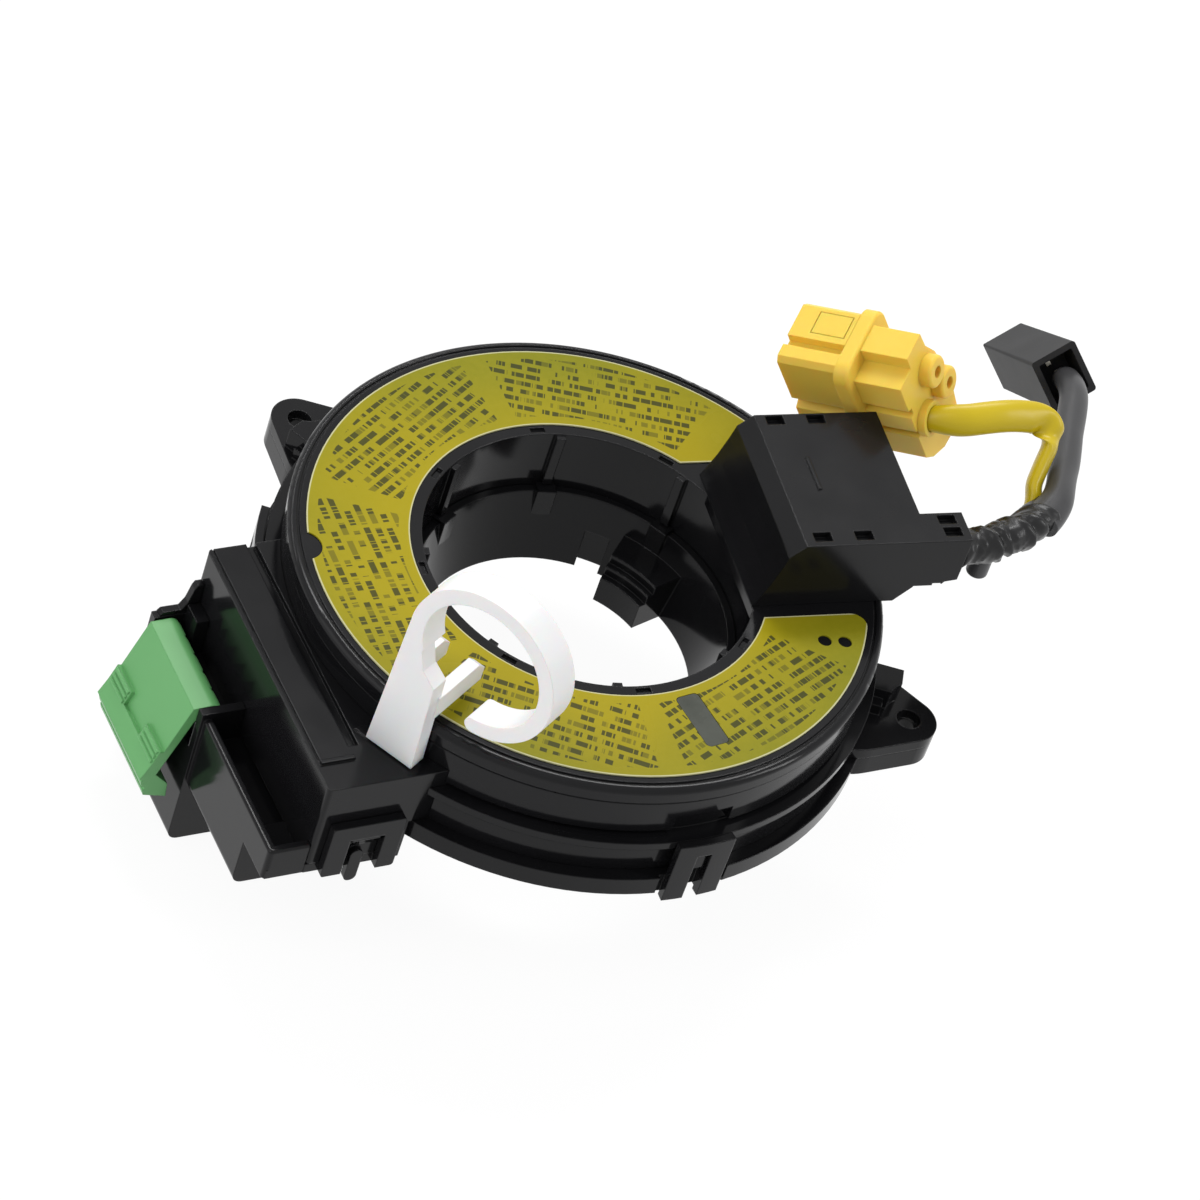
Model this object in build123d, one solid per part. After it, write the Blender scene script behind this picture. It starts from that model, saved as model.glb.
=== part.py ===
"""Steering clock spring: the rotary connector between a steering column and its wheel.

Millimetres. +Z points at the driver along the column axis. The origin lies on that axis,
in the plane of the back face of the bottom cover. The connector block is on the -X side,
the raised exit box with the leads is on the +X side.
"""
from build123d import *
import math
import os

os.makedirs("parts", exist_ok=True)

# ---- clearances ----
RUN_GAP = 0.3            # between pieces that turn past each other
FIT_GAP = 0.1            # between pieces that are clipped or pushed together
CUT = 1.0                # how far a cutting body runs past the face it opens

# ---- radii that the ring's pieces share ----
CAVITY_R = 47.7          # inside of the stator wall
WALL_R = CAVITY_R + 3.0
COVER_R = WALL_R + 3.1

# ---- rotor: disc, hub and bore ----
DISC_R = WALL_R + 0.3
DISC_TOP = 22.75
DISC_T = 3.0
DISC_EDGE = 1.1          # rounding of the disc's outer top edge
RIDGE_R = DISC_R - 1.4   # fine groove inside the disc's rim
RIDGE_W = 0.45
RIDGE_DEPTH = 0.3
BORE_R = 28.5
HUB_WALL = 2.5
HUB_R = BORE_R + HUB_WALL
LIP_R = BORE_R + 1.5     # slots in the lip round the bore
LIP_SLOT = (2.6, 1.0, 0.5)
DISC_UNDER = DISC_TOP - DISC_T
RIB_R = BORE_R - 1.0
RIB_W = 1.6
RIB_TOP = 22.5
RIB_AZ = [30.5, 75.5, 120.5, 165.5, 210.5, 255.5, 300.5]
FLAT_R = BORE_R - 3.2    # flat side of the disc's bore, under the exit cover, in the cover's frame
FLAT_T = 2.0

# ---- cancel cam, clipped into the bore from below ----
CAM_TOP = 10.5
CAM_BOTTOM = -3.0
CAM_TOP_R = BORE_R - 1.5
CAM_BOTTOM_R = BORE_R - 4.6
CAM_FLANGE_R = HUB_R + 3.0
CAM_BLOCK = (14.0, 42.0, 17.7, 6.0)      # azimuth from, to, inner radius, top
CAM_STEPS = [(19.0, 2.4), (20.2, 4.2)]   # ledges along the block: outer radius, top
CAM_FOOT = (BORE_R - 2.6, 3.4, 4.0, 11.2)  # foot under each rib: inner radius, width, bottom, top
CAM_NOTCH = (46.5, 56.5, 26.0, 4.0)      # azimuth from, to, radius, top

# ---- stator wall ----
GROOVE_R = WALL_R - 1.0
FLANGE_R = WALL_R + 2.1
RECESS_R = WALL_R + 0.8
SEAM = 0.5               # gap seen under the disc
WALL_TOP = DISC_UNDER - SEAM
GROOVE_TOP = 12.6
FLANGE_TOP = 11.8
FLANGE_BOTTOM = 10.3

# ---- bottom cover ----
COVER_RIM = 4.0
FLOOR_T = 2.0
SPIGOT_R = CAVITY_R + 1.6  # step that centres the stator wall in the cover
SLEEVE_WALL = 1.8
SLEEVE_TOP = 4.5
CAM_UNDER = -RUN_GAP     # top of the cam flange, below the cover

# ---- hooks that hold the cover ----
HOOK_AZ = [-89.8, 8.0, 68.0, 151.0]
HOOK_HALF = 5.4          # degrees
HOOK_TOP = 12.2
HOOK_FOOT = -0.9         # the legs of a hook reach below the back face
HOOK_T = 1.5
HOOK_SLOT = (1.4, 9.4)                   # half angle and top of the slot, open downwards
HOOK_PEG = (1.1, 5.6, 9.2)               # half angle, bottom and top of the peg it holds
HOOK_RELIEF = 1.3        # degrees cut from the rim on each side of a hook
HOOK_RECESS_TOP = 15.8

# ---- mounting ears ----
EAR_AZ = [116.8, -32.0]
EAR_HOLE_R = COVER_R + 6.5  # radius of the hole circle
EAR_HOLE_D = 4.2
EAR_END_R = 5.0
EAR_ROOT_R = 10.8
EAR_TOP = 6.1
GUSSET = (COVER_R + 3.9, 1.0, 6.9, 10.2)  # outer radius, side from, side to, top
GUSSET_STEP = (2.6, 2.0, 1.2, 2.0)       # how much lower step is shorter, wider each side, and lower
SCREW_HEAD_R = EAR_END_R - 0.6

# ---- connector block of the stator ----
BLOCK_X0 = -(COVER_R + 6.0)
BLOCK_Y0 = -33.1
BLOCK_Y1 = 20.1
BLOCK_X1 = -34.0
BLOCK_TOP = 15.5
BLOCK_WALL = 2.0
BLOCK_CORNER = 0.8
INNER_WALL = 1.5         # wall between the block and the ring, below the flange
PLATE_TOP = -2.6         # joint between the block and the connector base
PLATE_T = 2.0
TOP_GROOVE = (BLOCK_X0 + 6.9, BLOCK_X0 + 8.6, -24.8, 0.9)  # x from, x to, front end, depth
EDGE_LINE = (BLOCK_X0 + 0.8, BLOCK_X0 + 1.1, 0.3)          # x from, x to, depth
BAR = (BLOCK_X0 + 0.9, BLOCK_X0 + 6.9, -27.7, -26.9, 0.5)  # x from, x to, y from, y to, height
ARROW = [(BLOCK_X0 + 9.2, -21.6), (BLOCK_X0 + 13.4, -21.0), (BLOCK_X0 + 10.6, -24.2)]
ARROW_H = 0.3

# ---- catch on the front of the block ----
CATCH_X0 = BLOCK_X0 + 2.4
CATCH_X1 = CATCH_X0 + 13.0
CATCH_TOP = 7.0
CATCH_T = 1.5
CATCH_WINDOW = (CATCH_X0 + 3.6, CATCH_X0 + 9.8, 3.6)       # x from, x to, top
PEG_FRONT = (CATCH_X0 + 4.2, CATCH_X0 + 9.2, 0.4)          # x from, x to, bottom
PEG_OUT = 1.3
FINGER = (CATCH_X0 + 4.8, CATCH_X0 + 7.0, -7.2, 0.2)       # x from, x to, bottom, top

# ---- connector base: pocket and two sockets ----
POCKET_X0 = BLOCK_X0 - 7.2
POCKET_Y0 = -33.0
POCKET_TOP = 2.0
POCKET_CORNER = 0.9
POCKET_EDGE = 0.5
POCKET_WALL = 1.3
POCKET_FLOOR = -4.0
POCKET_SHALLOW = -2.7    # floor of the front part
SOCKET_X1 = BLOCK_X0 + 7.8
SOCKET1_Y0 = -25.0
WALL_GAP = 0.05          # pocket and cheeks to the block's wall
SOCKET1_BOTTOM = -15.0
SOCKET1_ROOF = -7.0
SOCKET2_BOTTOM = -28.0
SOCKET2_ROOF = -7.0
SHROUD_CORNER = 2.0
CHEEK_X0 = BLOCK_X0 - 7.8
CHEEK_Y0 = -4.2          # outer face of the front cheek
CHEEK_Y1 = 19.2          # outer face of the back cheek
CHEEK_T = 1.6
CHEEK_TOP = 3.2
SHROUD_TOP = -6.0        # top of the wall under the lever
END_BLOCK = (BLOCK_X0 - 2.4, 13.4, 5.4)  # x from, y from, top
BACK_RIB = [(-0.15, 9.4), (-1.3, 9.4), (-1.7, 8.6), (-2.3, 5.6), (-3.2, 4.0),
            (-6.4, 4.0), (-6.9, 3.4), (-6.9, 1.0), (-0.15, 1.0)]  # x from the block's side, z
BACK_RIB_T = 1.4
PIT_X = (BLOCK_X0 - 3.1, BLOCK_X0 - 1.5)  # pits in the roof beside the lever
PIT_W = 2.2
PIT_DEPTH = 1.0

# ---- contacts ----
PIN_W = 1.2
PIN_SEAT = 2.2
PINS1_X = (BLOCK_X0 - 2.6, BLOCK_X0 + 3.2)
PINS1_Y = (-21.0, -16.8, -12.6, -8.4)
PINS1_TIP = -13.4
PINS2_X = (BLOCK_X0 - 3.0, BLOCK_X0 + 3.2)
PINS2_Y = (0.6, 5.2, 9.8, 14.4)
PINS2_TIP = -17.5

# ---- lock lever ----
HINGE_X = BLOCK_X0 - 5.4
HINGE_Z = 0.6
BARREL_R = 2.4
TRUNNION_R = 1.1
TRUNNION_L = 1.2
SIDE_GAP = 0.25          # lever to each cheek
LEVER_OUTLINE = [(0, 3.0), (-3.2, 2.8), (-7.5, -10.3), (-9.1, -14.0), (-8.1, -17.3),
                 (-3.8, -18.6), (-4.1, -15.4), (-6.7, -12.6), (-2.2, 0.2)]  # x from the hinge, z
KNUCKLES = 5             # rounded lobes along the hinge edge
PAD_W = 6.4
PAD_H = 0.7
PAD_L = 3.4              # how far a pad runs back from the knee
PAD_GRIPS = 3
GRIP_PITCH = 1.1
GRIP_R = 0.35
STRIP_BACK = 0.6         # the raised strip along the free edge starts this far before the knee
END_GROOVE = 0.5

# ---- exit box on the rotor, in its own turned frame ----
BOX_TURN = -8.1          # degrees about the axis
BOX_R0 = BORE_R + 0.3    # bore side at the top
BOX_R1 = DISC_R + 2.8
BOX_T0 = -12.3
BOX_T1 = 18.0
TAB_R1 = BOX_R1 + 7.7
TAB_T1 = -5.8
TAB_BOTTOM = 26.2
BOX_TOP = 37.0
BOX_WALL = 1.8
BOX_FLARE = 26.0         # height where the outer wall leaves the disc's edge
BOX_FOOT = [(1.0, 0.0), (0.8, 1.6), (0.45, 5.0), (0.15, 9.0), (0.0, 11.5)]  # share of way to FLAT_R, height
BOX_BEVEL = 2.5
LATCH_HOLE = (3.2, 2.0, 1.2)             # along the radius, across, depth
LATCH_R = (BOX_R0 + 5.9, BOX_R0 + 13.4)
LATCH_T = (BOX_T0 + 2.1, BOX_T1 - 1.3)
TAB_LATCHES = [(TAB_R1 - 3.2, TAB_T1 - 1.5), (TAB_R1 - 3.0, TAB_T1 - 4.3)]
TAB_PROFILE = [(-4.3, 0.0), (-4.3, 0.5), (-2.9, 0.5), (-2.6, 0.2), (-2.2, 0.8), (0.0, 1.2)]
TAB_FLOOR = 2.6          # the tab's hollow above its underside
BAR_MARK = (BOX_R0 + 8.5, BOX_R0 + 9.2, 0.4, 7.8, 0.3)
TONGUE_T = 1.2
TONGUE_HALF = 0.7
HARNESS_HOLE_R = 1.4
HARNESS_T = -9.05
HARNESS_Z = 31.0

# ---- label ----
LABEL_R0 = BORE_R + 2.13
LABEL_R1 = DISC_R - 3.0
LABEL_CORNER = 2.4
LABEL_T = 0.25
LABEL_END0 = -15.0       # straight ends, in the exit box's frame
LABEL_END1 = 20.7
LABEL_NOTCH = (LABEL_R1 + 1.0, 166.0, 3.2)  # radius, azimuth, notch radius
WINDOW_AZ = -84.3
WINDOW_R0 = LABEL_R0 + 1.4
WINDOW_R1 = LABEL_R1 - 4.8
WINDOW_W = 4.4
WINDOW_CORNER = 0.9
WINDOW_DEPTH = 0.8
DOTS = [(LABEL_R1 - 6.6, -38.1), (LABEL_R1 - 3.3, -36.4)]
DOT_D = 2.4

# ---- flat cable and its end blocks ----
NECK = (BOX_R0 + 3.7, BOX_R0 + 6.2, 5.5, 31.0)  # lead block's neck: radius from, to, half width, top
INNER_END_R = NECK[1] + 0.4
RIBBON_R0 = INNER_END_R + 0.4
RIBBON_R1 = CAVITY_R - 1.6
RIBBON_TURNS = 6
RIBBON_T = 0.25
RIBBON_BOTTOM = 5.0
RIBBON_TOP = 18.6
SHEET_T = 0.25
SHEET_R0 = INNER_END_R + 0.8
SHEET_R1 = CAVITY_R - 0.4
INNER_END_HALF = 10.0    # degrees
INNER_END_BOTTOM = 5.2
OUTER_END = (BLOCK_X0 + 2.4, 1.0 - CAVITY_R, 4.0, 5.5, 13.0)

# ---- lock key ----
KEY_N = Vector(-0.866, -0.5, 0)          # outward
KEY_S = Vector(0.5, -0.866, 0)           # along the leg's width
KEY_INNER = WALL_R + 0.6
KEY_T = 3.4
KEY_FOOT = BLOCK_TOP + RUN_GAP
KEY_LEG = [(-4.2, KEY_FOOT), (5.0, KEY_FOOT), (4.4, 34.3), (1.7, 36.4), (-0.6, 43.0), (-3.09, 45.06)]
HOOP_C = (10.67, 45.06)
HOOP_R_OUT = 13.76
HOOP_R_IN = 11.07
HOOP_W = 5.9
HOOP_START = 205.0
HOOP_END = -82.0
PRONGS = [(2.7, 4.9), (-4.2, -2.2)]
PRONG_Z = (25.85, 30.75)
PRONG_L = 12.1
PRONG_TIP = (2.2, 2.0)   # slope at the end of a prong, along it and down

# ---- leads ----
DARK_D = 4.8
YELLOW_D = 4.4
STUB_D = 3.8
# where the leads leave the tab; the leads and plugs are set out from it
HARNESS = (Rot(0, 0, BOX_TURN) * Pos(TAB_R1, HARNESS_T, HARNESS_Z)).position
STUB = [(7.0, 1.2, -2.4), (7.3, 1.4, -7.8)]
DARK_ROUTE = [(18.3, 3.2, 0.0), (20.8, 4.8, 0.0), (24.2, 7.5, 0.0), (29.8, 13.4, -1.0), (35.1, 20.7, -2.0),
              (40.0, 28.8, -3.0), (44.0, 36.0, -4.4), (45.8, 40.2, -7.2)]
YELLOW_ROUTE = [(20.7, 7.7, -4.4), (20.4, 12.0, -2.4), (23.2, 15.2, 0.4), (26.0, 17.9, 3.6),
                (25.1, 20.2, 6.8), (20.4, 20.7, 7.9), (15.6, 21.0, 8.2), (8.0, 22.15, 7.0),
                (4.3, 27.35, 4.1)]
WRAP = [((0.0, 0.0, 0.0), 3.1, 3.1), ((7.1, 0.6, 0.0), 3.6, 3.5), ((13.4, 2.0, -0.5), 4.2, 3.3),
        ((18.2, 4.5, -1.4), 5.0, 3.1), ((22.0, 7.6, -2.5), 5.2, 2.9)]  # centre, half width, half thickness
WRAP_SIDE = Vector(0.08, 0.65, -0.75)    # the wide way across the wrap

# ---- airbag plug, in its own frame: Z runs out along the lead, -Y is its upper side ----
PLUG_REAR = HARNESS + Vector(8.2, 26.95, 3.2)
PLUG_Z = Vector(0.525, -0.746, 0.408)
PLUG_X = Vector(-0.684, -0.656, -0.318)
PLUG_REAR_L = 8.9
PLUG_REAR_SIDE = [(1.2, -17.6), (-4.4, -17.6), (-4.6, -14.2), (-6.4, -10.6), (-7.5, -5.0), (-7.7, 0.5),
                  (-6.9, 5.6), (-4.1, 8.2), (0.1, 7.9), (3.8, 6.0), (5.7, 3.9), (5.7, -1.6), (4.9, -1.9),
                  (4.9, -3.0), (5.7, -3.3), (5.7, -6.9), (4.7, -7.2), (4.7, -8.6), (5.7, -8.9),
                  (5.7, -14.8), (1.2, -15.0)]
PLUG_FLANGE = (16.0, 27.0, 2.7)
PLUG_FLANGE_R = 3.0
PLUG_MID = (-0.4, -4.8)                  # centre of the flange and of the front body
PLUG_FRONT_L = 11.0
PLUG_FRONT_SIDE = [(-5.4, -18.4), (1.3, -18.4), (1.4, -16.8), (2.9, -16.8), (3.2, -18.2), (5.6, -18.2),
                   (6.5, -17.2), (6.5, -7.4), (5.0, -7.0), (4.8, -5.4), (6.4, -4.6), (6.4, 6.6), (4.9, 8.0),
                   (-5.0, 8.0), (-6.4, 6.6), (-6.4, -17.4)]
PLUG_EDGE = 0.6
PLUG_SLOT = (1.6, 2.6, 7.0)              # one in the front for each contact
PLUG_LOBES = [(-2.6, -10.1), (-4.6, -4.7)]
PLUG_LOBE_R = 2.9
PLUG_LOBE_L = 2.2
PLUG_HOLE_R = 1.1
PLUG_HOLE_L = 3.4
PLUG_ENTRY = (2.1, -2.8)
PLUG_ENTRY_L = 2.2
PLUG_COLLAR = (0.9, 1.4)                 # wall and height of the collar round the lead
PLUG_PIN_Y = (-3.2, 3.2)
PLUG_PIN_W = 1.0
PLUG_LOCK = (4.4, 1.6, 6.2)              # width, depth, length
PLUG_LOCK_IN = 0.9                       # from the edges of the side it lies in
PLUG_LOCK_GAP = 0.15

# ---- horn plug, in its own frame: Z runs out along the lead ----
HORN_REAR = HARNESS + Vector(44.7, 39.79, -5.98)
HORN_Z = Vector(-0.205, -0.771, 0.603)
HORN_X = Vector(0.898, 0.097, 0.43)
HORN_BODY = (8.9, 10.0, 26.0)
HORN_TAPER = 0.7         # degrees, towards the front
HORN_EDGE = 0.6
HORN_WALL = 1.1
HORN_REAR_DEPTH = 6.0
HORN_FRONT_DEPTH = 10.0
HORN_PIN_Y = (-1.7, 1.7)
HORN_PIN_W = 0.9


def box(x0, x1, y0, y1, z0, z1):
    """A block given by its limits."""
    return Pos((x0 + x1) / 2, (y0 + y1) / 2, (z0 + z1) / 2) * Box(x1 - x0, y1 - y0, z1 - z0)


def disc(radius, z0, z1):
    return Pos(0, 0, z0) * extrude(Circle(radius), z1 - z0)


def ring(r0, r1, z0, z1):
    return Pos(0, 0, z0) * extrude(Circle(r1) - Circle(r0), z1 - z0)


def sector(r0, r1, a0, a1, z0, z1):
    """A slice of a ring between two azimuths in degrees."""
    outer = CenterArc((0, 0), r1, a0, a1 - a0)
    inner = CenterArc((0, 0), r0, a0, a1 - a0)
    edges = [outer, Line(outer @ 1, inner @ 1), inner, Line(inner @ 0, outer @ 0)]
    return Pos(0, 0, z0) * extrude(make_face(edges), z1 - z0)


def turned(points):
    """Revolve a closed outline of (radius, height) points about the axis."""
    return revolve(Plane.XZ * make_face(Polyline(*points, close=True)), Axis.Z)


def across_y(face, y0, y1):
    """Extrude an outline drawn in (X, Z) from y0 to y1."""
    return extrude(Plane.XZ.offset(-y1) * face, y1 - y0)


def polygon(points):
    return make_face(Polyline(*points, close=True))


def polar(radius, azimuth, z=0.0):
    a = math.radians(azimuth)
    return (radius * math.cos(a), radius * math.sin(a), z)


def in_box_frame(solid):
    return Rot(0, 0, BOX_TURN) * solid


def ear_outline():
    """An ear that points along +X: a flared web with a round end."""
    tip = Pos(EAR_HOLE_R, 0) * Circle(EAR_END_R)
    root = Pos(SPIGOT_R, 0) * Circle(EAR_ROOT_R)
    return make_hull(tip.edges() + root.edges())


def ear(azimuth, z0, z1, clear_r):
    body = Pos(0, 0, z0) * extrude(ear_outline(), z1 - z0)
    body -= disc(clear_r, z0 - CUT, z1 + CUT)
    body -= Pos(EAR_HOLE_R, 0, z0 - CUT) * extrude(Circle(EAR_HOLE_D / 2), z1 - z0 + 2 * CUT)
    return Rot(0, 0, azimuth) * body


def block_outline(inset, clear_r, z0, z1):
    """The connector block's plan, less the ring that it grows from."""
    x0 = BLOCK_X0 + inset
    plan = box(x0, BLOCK_X1 - inset, BLOCK_Y0 + inset, BLOCK_Y1 - inset, z0, z1)
    return plan - disc(clear_r, z0 - CUT, z1 + CUT)


def ring_outside():
    """The outside of the stator ring, which the block and the ears lie against."""
    return [(RECESS_R, COVER_RIM), (RECESS_R, FLANGE_BOTTOM), (FLANGE_R, FLANGE_BOTTOM),
            (FLANGE_R, FLANGE_TOP), (GROOVE_R, FLANGE_TOP), (GROOVE_R, GROOVE_TOP),
            (WALL_R, GROOVE_TOP), (WALL_R, WALL_TOP)]


def cable_way():
    """Way for the flat cable's outer end block, through the ring and the block's inner wall."""
    x0, x1, half, z0, z1 = OUTER_END
    return box(x0 - FIT_GAP, x1 + CUT, -half - FIT_GAP, half + FIT_GAP, z0 - FIT_GAP, z1 + FIT_GAP)


def upper_ear(azimuth):
    """Upper layer of an ear and the stepped block that stiffens it, with a relief for the screw head."""
    r1, side0, side1, top = GUSSET
    shorter, wider, wider_back, lower = GUSSET_STEP
    gusset = box(RECESS_R - CUT, r1, side0, side1, EAR_TOP - CUT, top)
    gusset += box(RECESS_R - CUT, r1 - shorter, side0 - wider, side1 + wider_back, EAR_TOP - CUT, top - lower)
    gusset -= Pos(EAR_HOLE_R, 0, EAR_TOP) * extrude(Circle(SCREW_HEAD_R), top)
    gusset -= disc(RECESS_R, 0, WALL_TOP)
    gusset -= Pos(EAR_HOLE_R, 0, 0) * extrude(Circle(EAR_HOLE_D / 2), WALL_TOP)
    return ear(azimuth, COVER_RIM, EAR_TOP, RECESS_R) + Rot(0, 0, azimuth) * gusset


def stator_housing():
    """The ring of the stator: wall, flange, recesses for the hooks and the pegs that they snap over."""
    body = turned([(CAVITY_R, FLOOR_T + FIT_GAP), (SPIGOT_R, FLOOR_T + FIT_GAP), (SPIGOT_R, COVER_RIM)]
                  + ring_outside() + [(CAVITY_R, WALL_TOP)])
    body -= cable_way()
    half, low, high = HOOK_PEG
    for azimuth in HOOK_AZ:
        body -= sector(GROOVE_R, COVER_R, azimuth - HOOK_HALF - 0.5, azimuth + HOOK_HALF + 0.5,
                       FLANGE_TOP, HOOK_RECESS_TOP)
        body += sector(RECESS_R - CUT, COVER_R, azimuth - half, azimuth + half, low, high)
    return body


def connector_block():
    """The stator's block beside the ring, hollow from below."""
    clear_r = COVER_R + RUN_GAP
    body = block_outline(0, clear_r, PLATE_TOP, COVER_RIM)
    body += box(BLOCK_X0, BLOCK_X1, BLOCK_Y0, BLOCK_Y1, COVER_RIM, BLOCK_TOP)
    body -= turned([(0, COVER_RIM)] + ring_outside() + [(0, WALL_TOP)])
    corners = body.edges().filter_by(Axis.Z).sort_by(Axis.X)[:2]
    body = fillet(corners, BLOCK_CORNER)
    body -= block_outline(BLOCK_WALL, clear_r + INNER_WALL, PLATE_TOP - CUT, BLOCK_TOP - BLOCK_WALL)
    body -= cable_way()

    # grooves, edge line, bar and arrow on top of the block
    gx0, gx1, gy0, depth = TOP_GROOVE
    body -= box(gx0, gx1, gy0, BLOCK_Y1 + CUT, BLOCK_TOP - depth, BLOCK_TOP + CUT)
    bx0, bx1, by0, by1, bar_h = BAR
    lx0, lx1, line_depth = EDGE_LINE
    body -= box(lx0, lx1, by1 + 0.4, BLOCK_Y1 + CUT, BLOCK_TOP - line_depth, BLOCK_TOP + CUT)
    body += box(bx0, bx1, by0, by1, BLOCK_TOP - CUT, BLOCK_TOP + bar_h)
    body += Pos(0, 0, BLOCK_TOP) * extrude(polygon(ARROW), ARROW_H)

    # front catch: the peg it snaps over and the finger beside it
    px0, px1, pz0 = PEG_FRONT
    pz1 = CATCH_WINDOW[2] - 0.2
    wedge = polygon([(BLOCK_Y0 + CUT, pz0), (BLOCK_Y0, pz0), (BLOCK_Y0 - PEG_OUT, pz1 - 0.6),
                     (BLOCK_Y0 - PEG_OUT, pz1), (BLOCK_Y0 + CUT, pz1)])
    body += Pos(px0, 0, 0) * extrude(Plane.YZ * wedge, px1 - px0)
    fx0, fx1, fz0, fz1 = FINGER
    finger = RectangleRounded(fx1 - fx0, fz1 - fz0, (fx1 - fx0) / 2 - 0.05)
    finger = Pos((fx0 + fx1) / 2, (fz0 + fz1) / 2) * finger
    body += across_y(finger, BLOCK_Y0 - CATCH_T + 0.3, BLOCK_Y0)
    return body


def bottom_cover():
    sleeve_r = HUB_R + RUN_GAP
    body = turned([(sleeve_r, 0), (COVER_R - 0.4, 0), (COVER_R, 0.4), (COVER_R, COVER_RIM),
                   (SPIGOT_R + FIT_GAP, COVER_RIM), (SPIGOT_R + FIT_GAP, FLOOR_T),
                   (sleeve_r + SLEEVE_WALL, FLOOR_T), (sleeve_r + SLEEVE_WALL, SLEEVE_TOP),
                   (sleeve_r, SLEEVE_TOP)])
    for azimuth in EAR_AZ:
        body += ear(azimuth, 0, COVER_RIM, SPIGOT_R + CUT)
    inner = FLANGE_R + 2 * FIT_GAP
    slot_half, slot_top = HOOK_SLOT
    for azimuth in HOOK_AZ:
        a0 = azimuth - HOOK_HALF
        a1 = azimuth + HOOK_HALF
        body -= sector(inner, COVER_R + CUT, a0 - HOOK_RELIEF, a1 + HOOK_RELIEF, -CUT, COVER_RIM + CUT)
        body += sector(inner - CUT, inner + HOOK_T, a0, a1, 0, COVER_RIM)
        body += sector(inner, inner + HOOK_T, a0, a1, HOOK_FOOT, HOOK_TOP)
        body -= sector(inner - 0.6, inner + HOOK_T + CUT, azimuth - slot_half, azimuth + slot_half,
                       HOOK_FOOT - CUT, slot_top)
    return body


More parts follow.
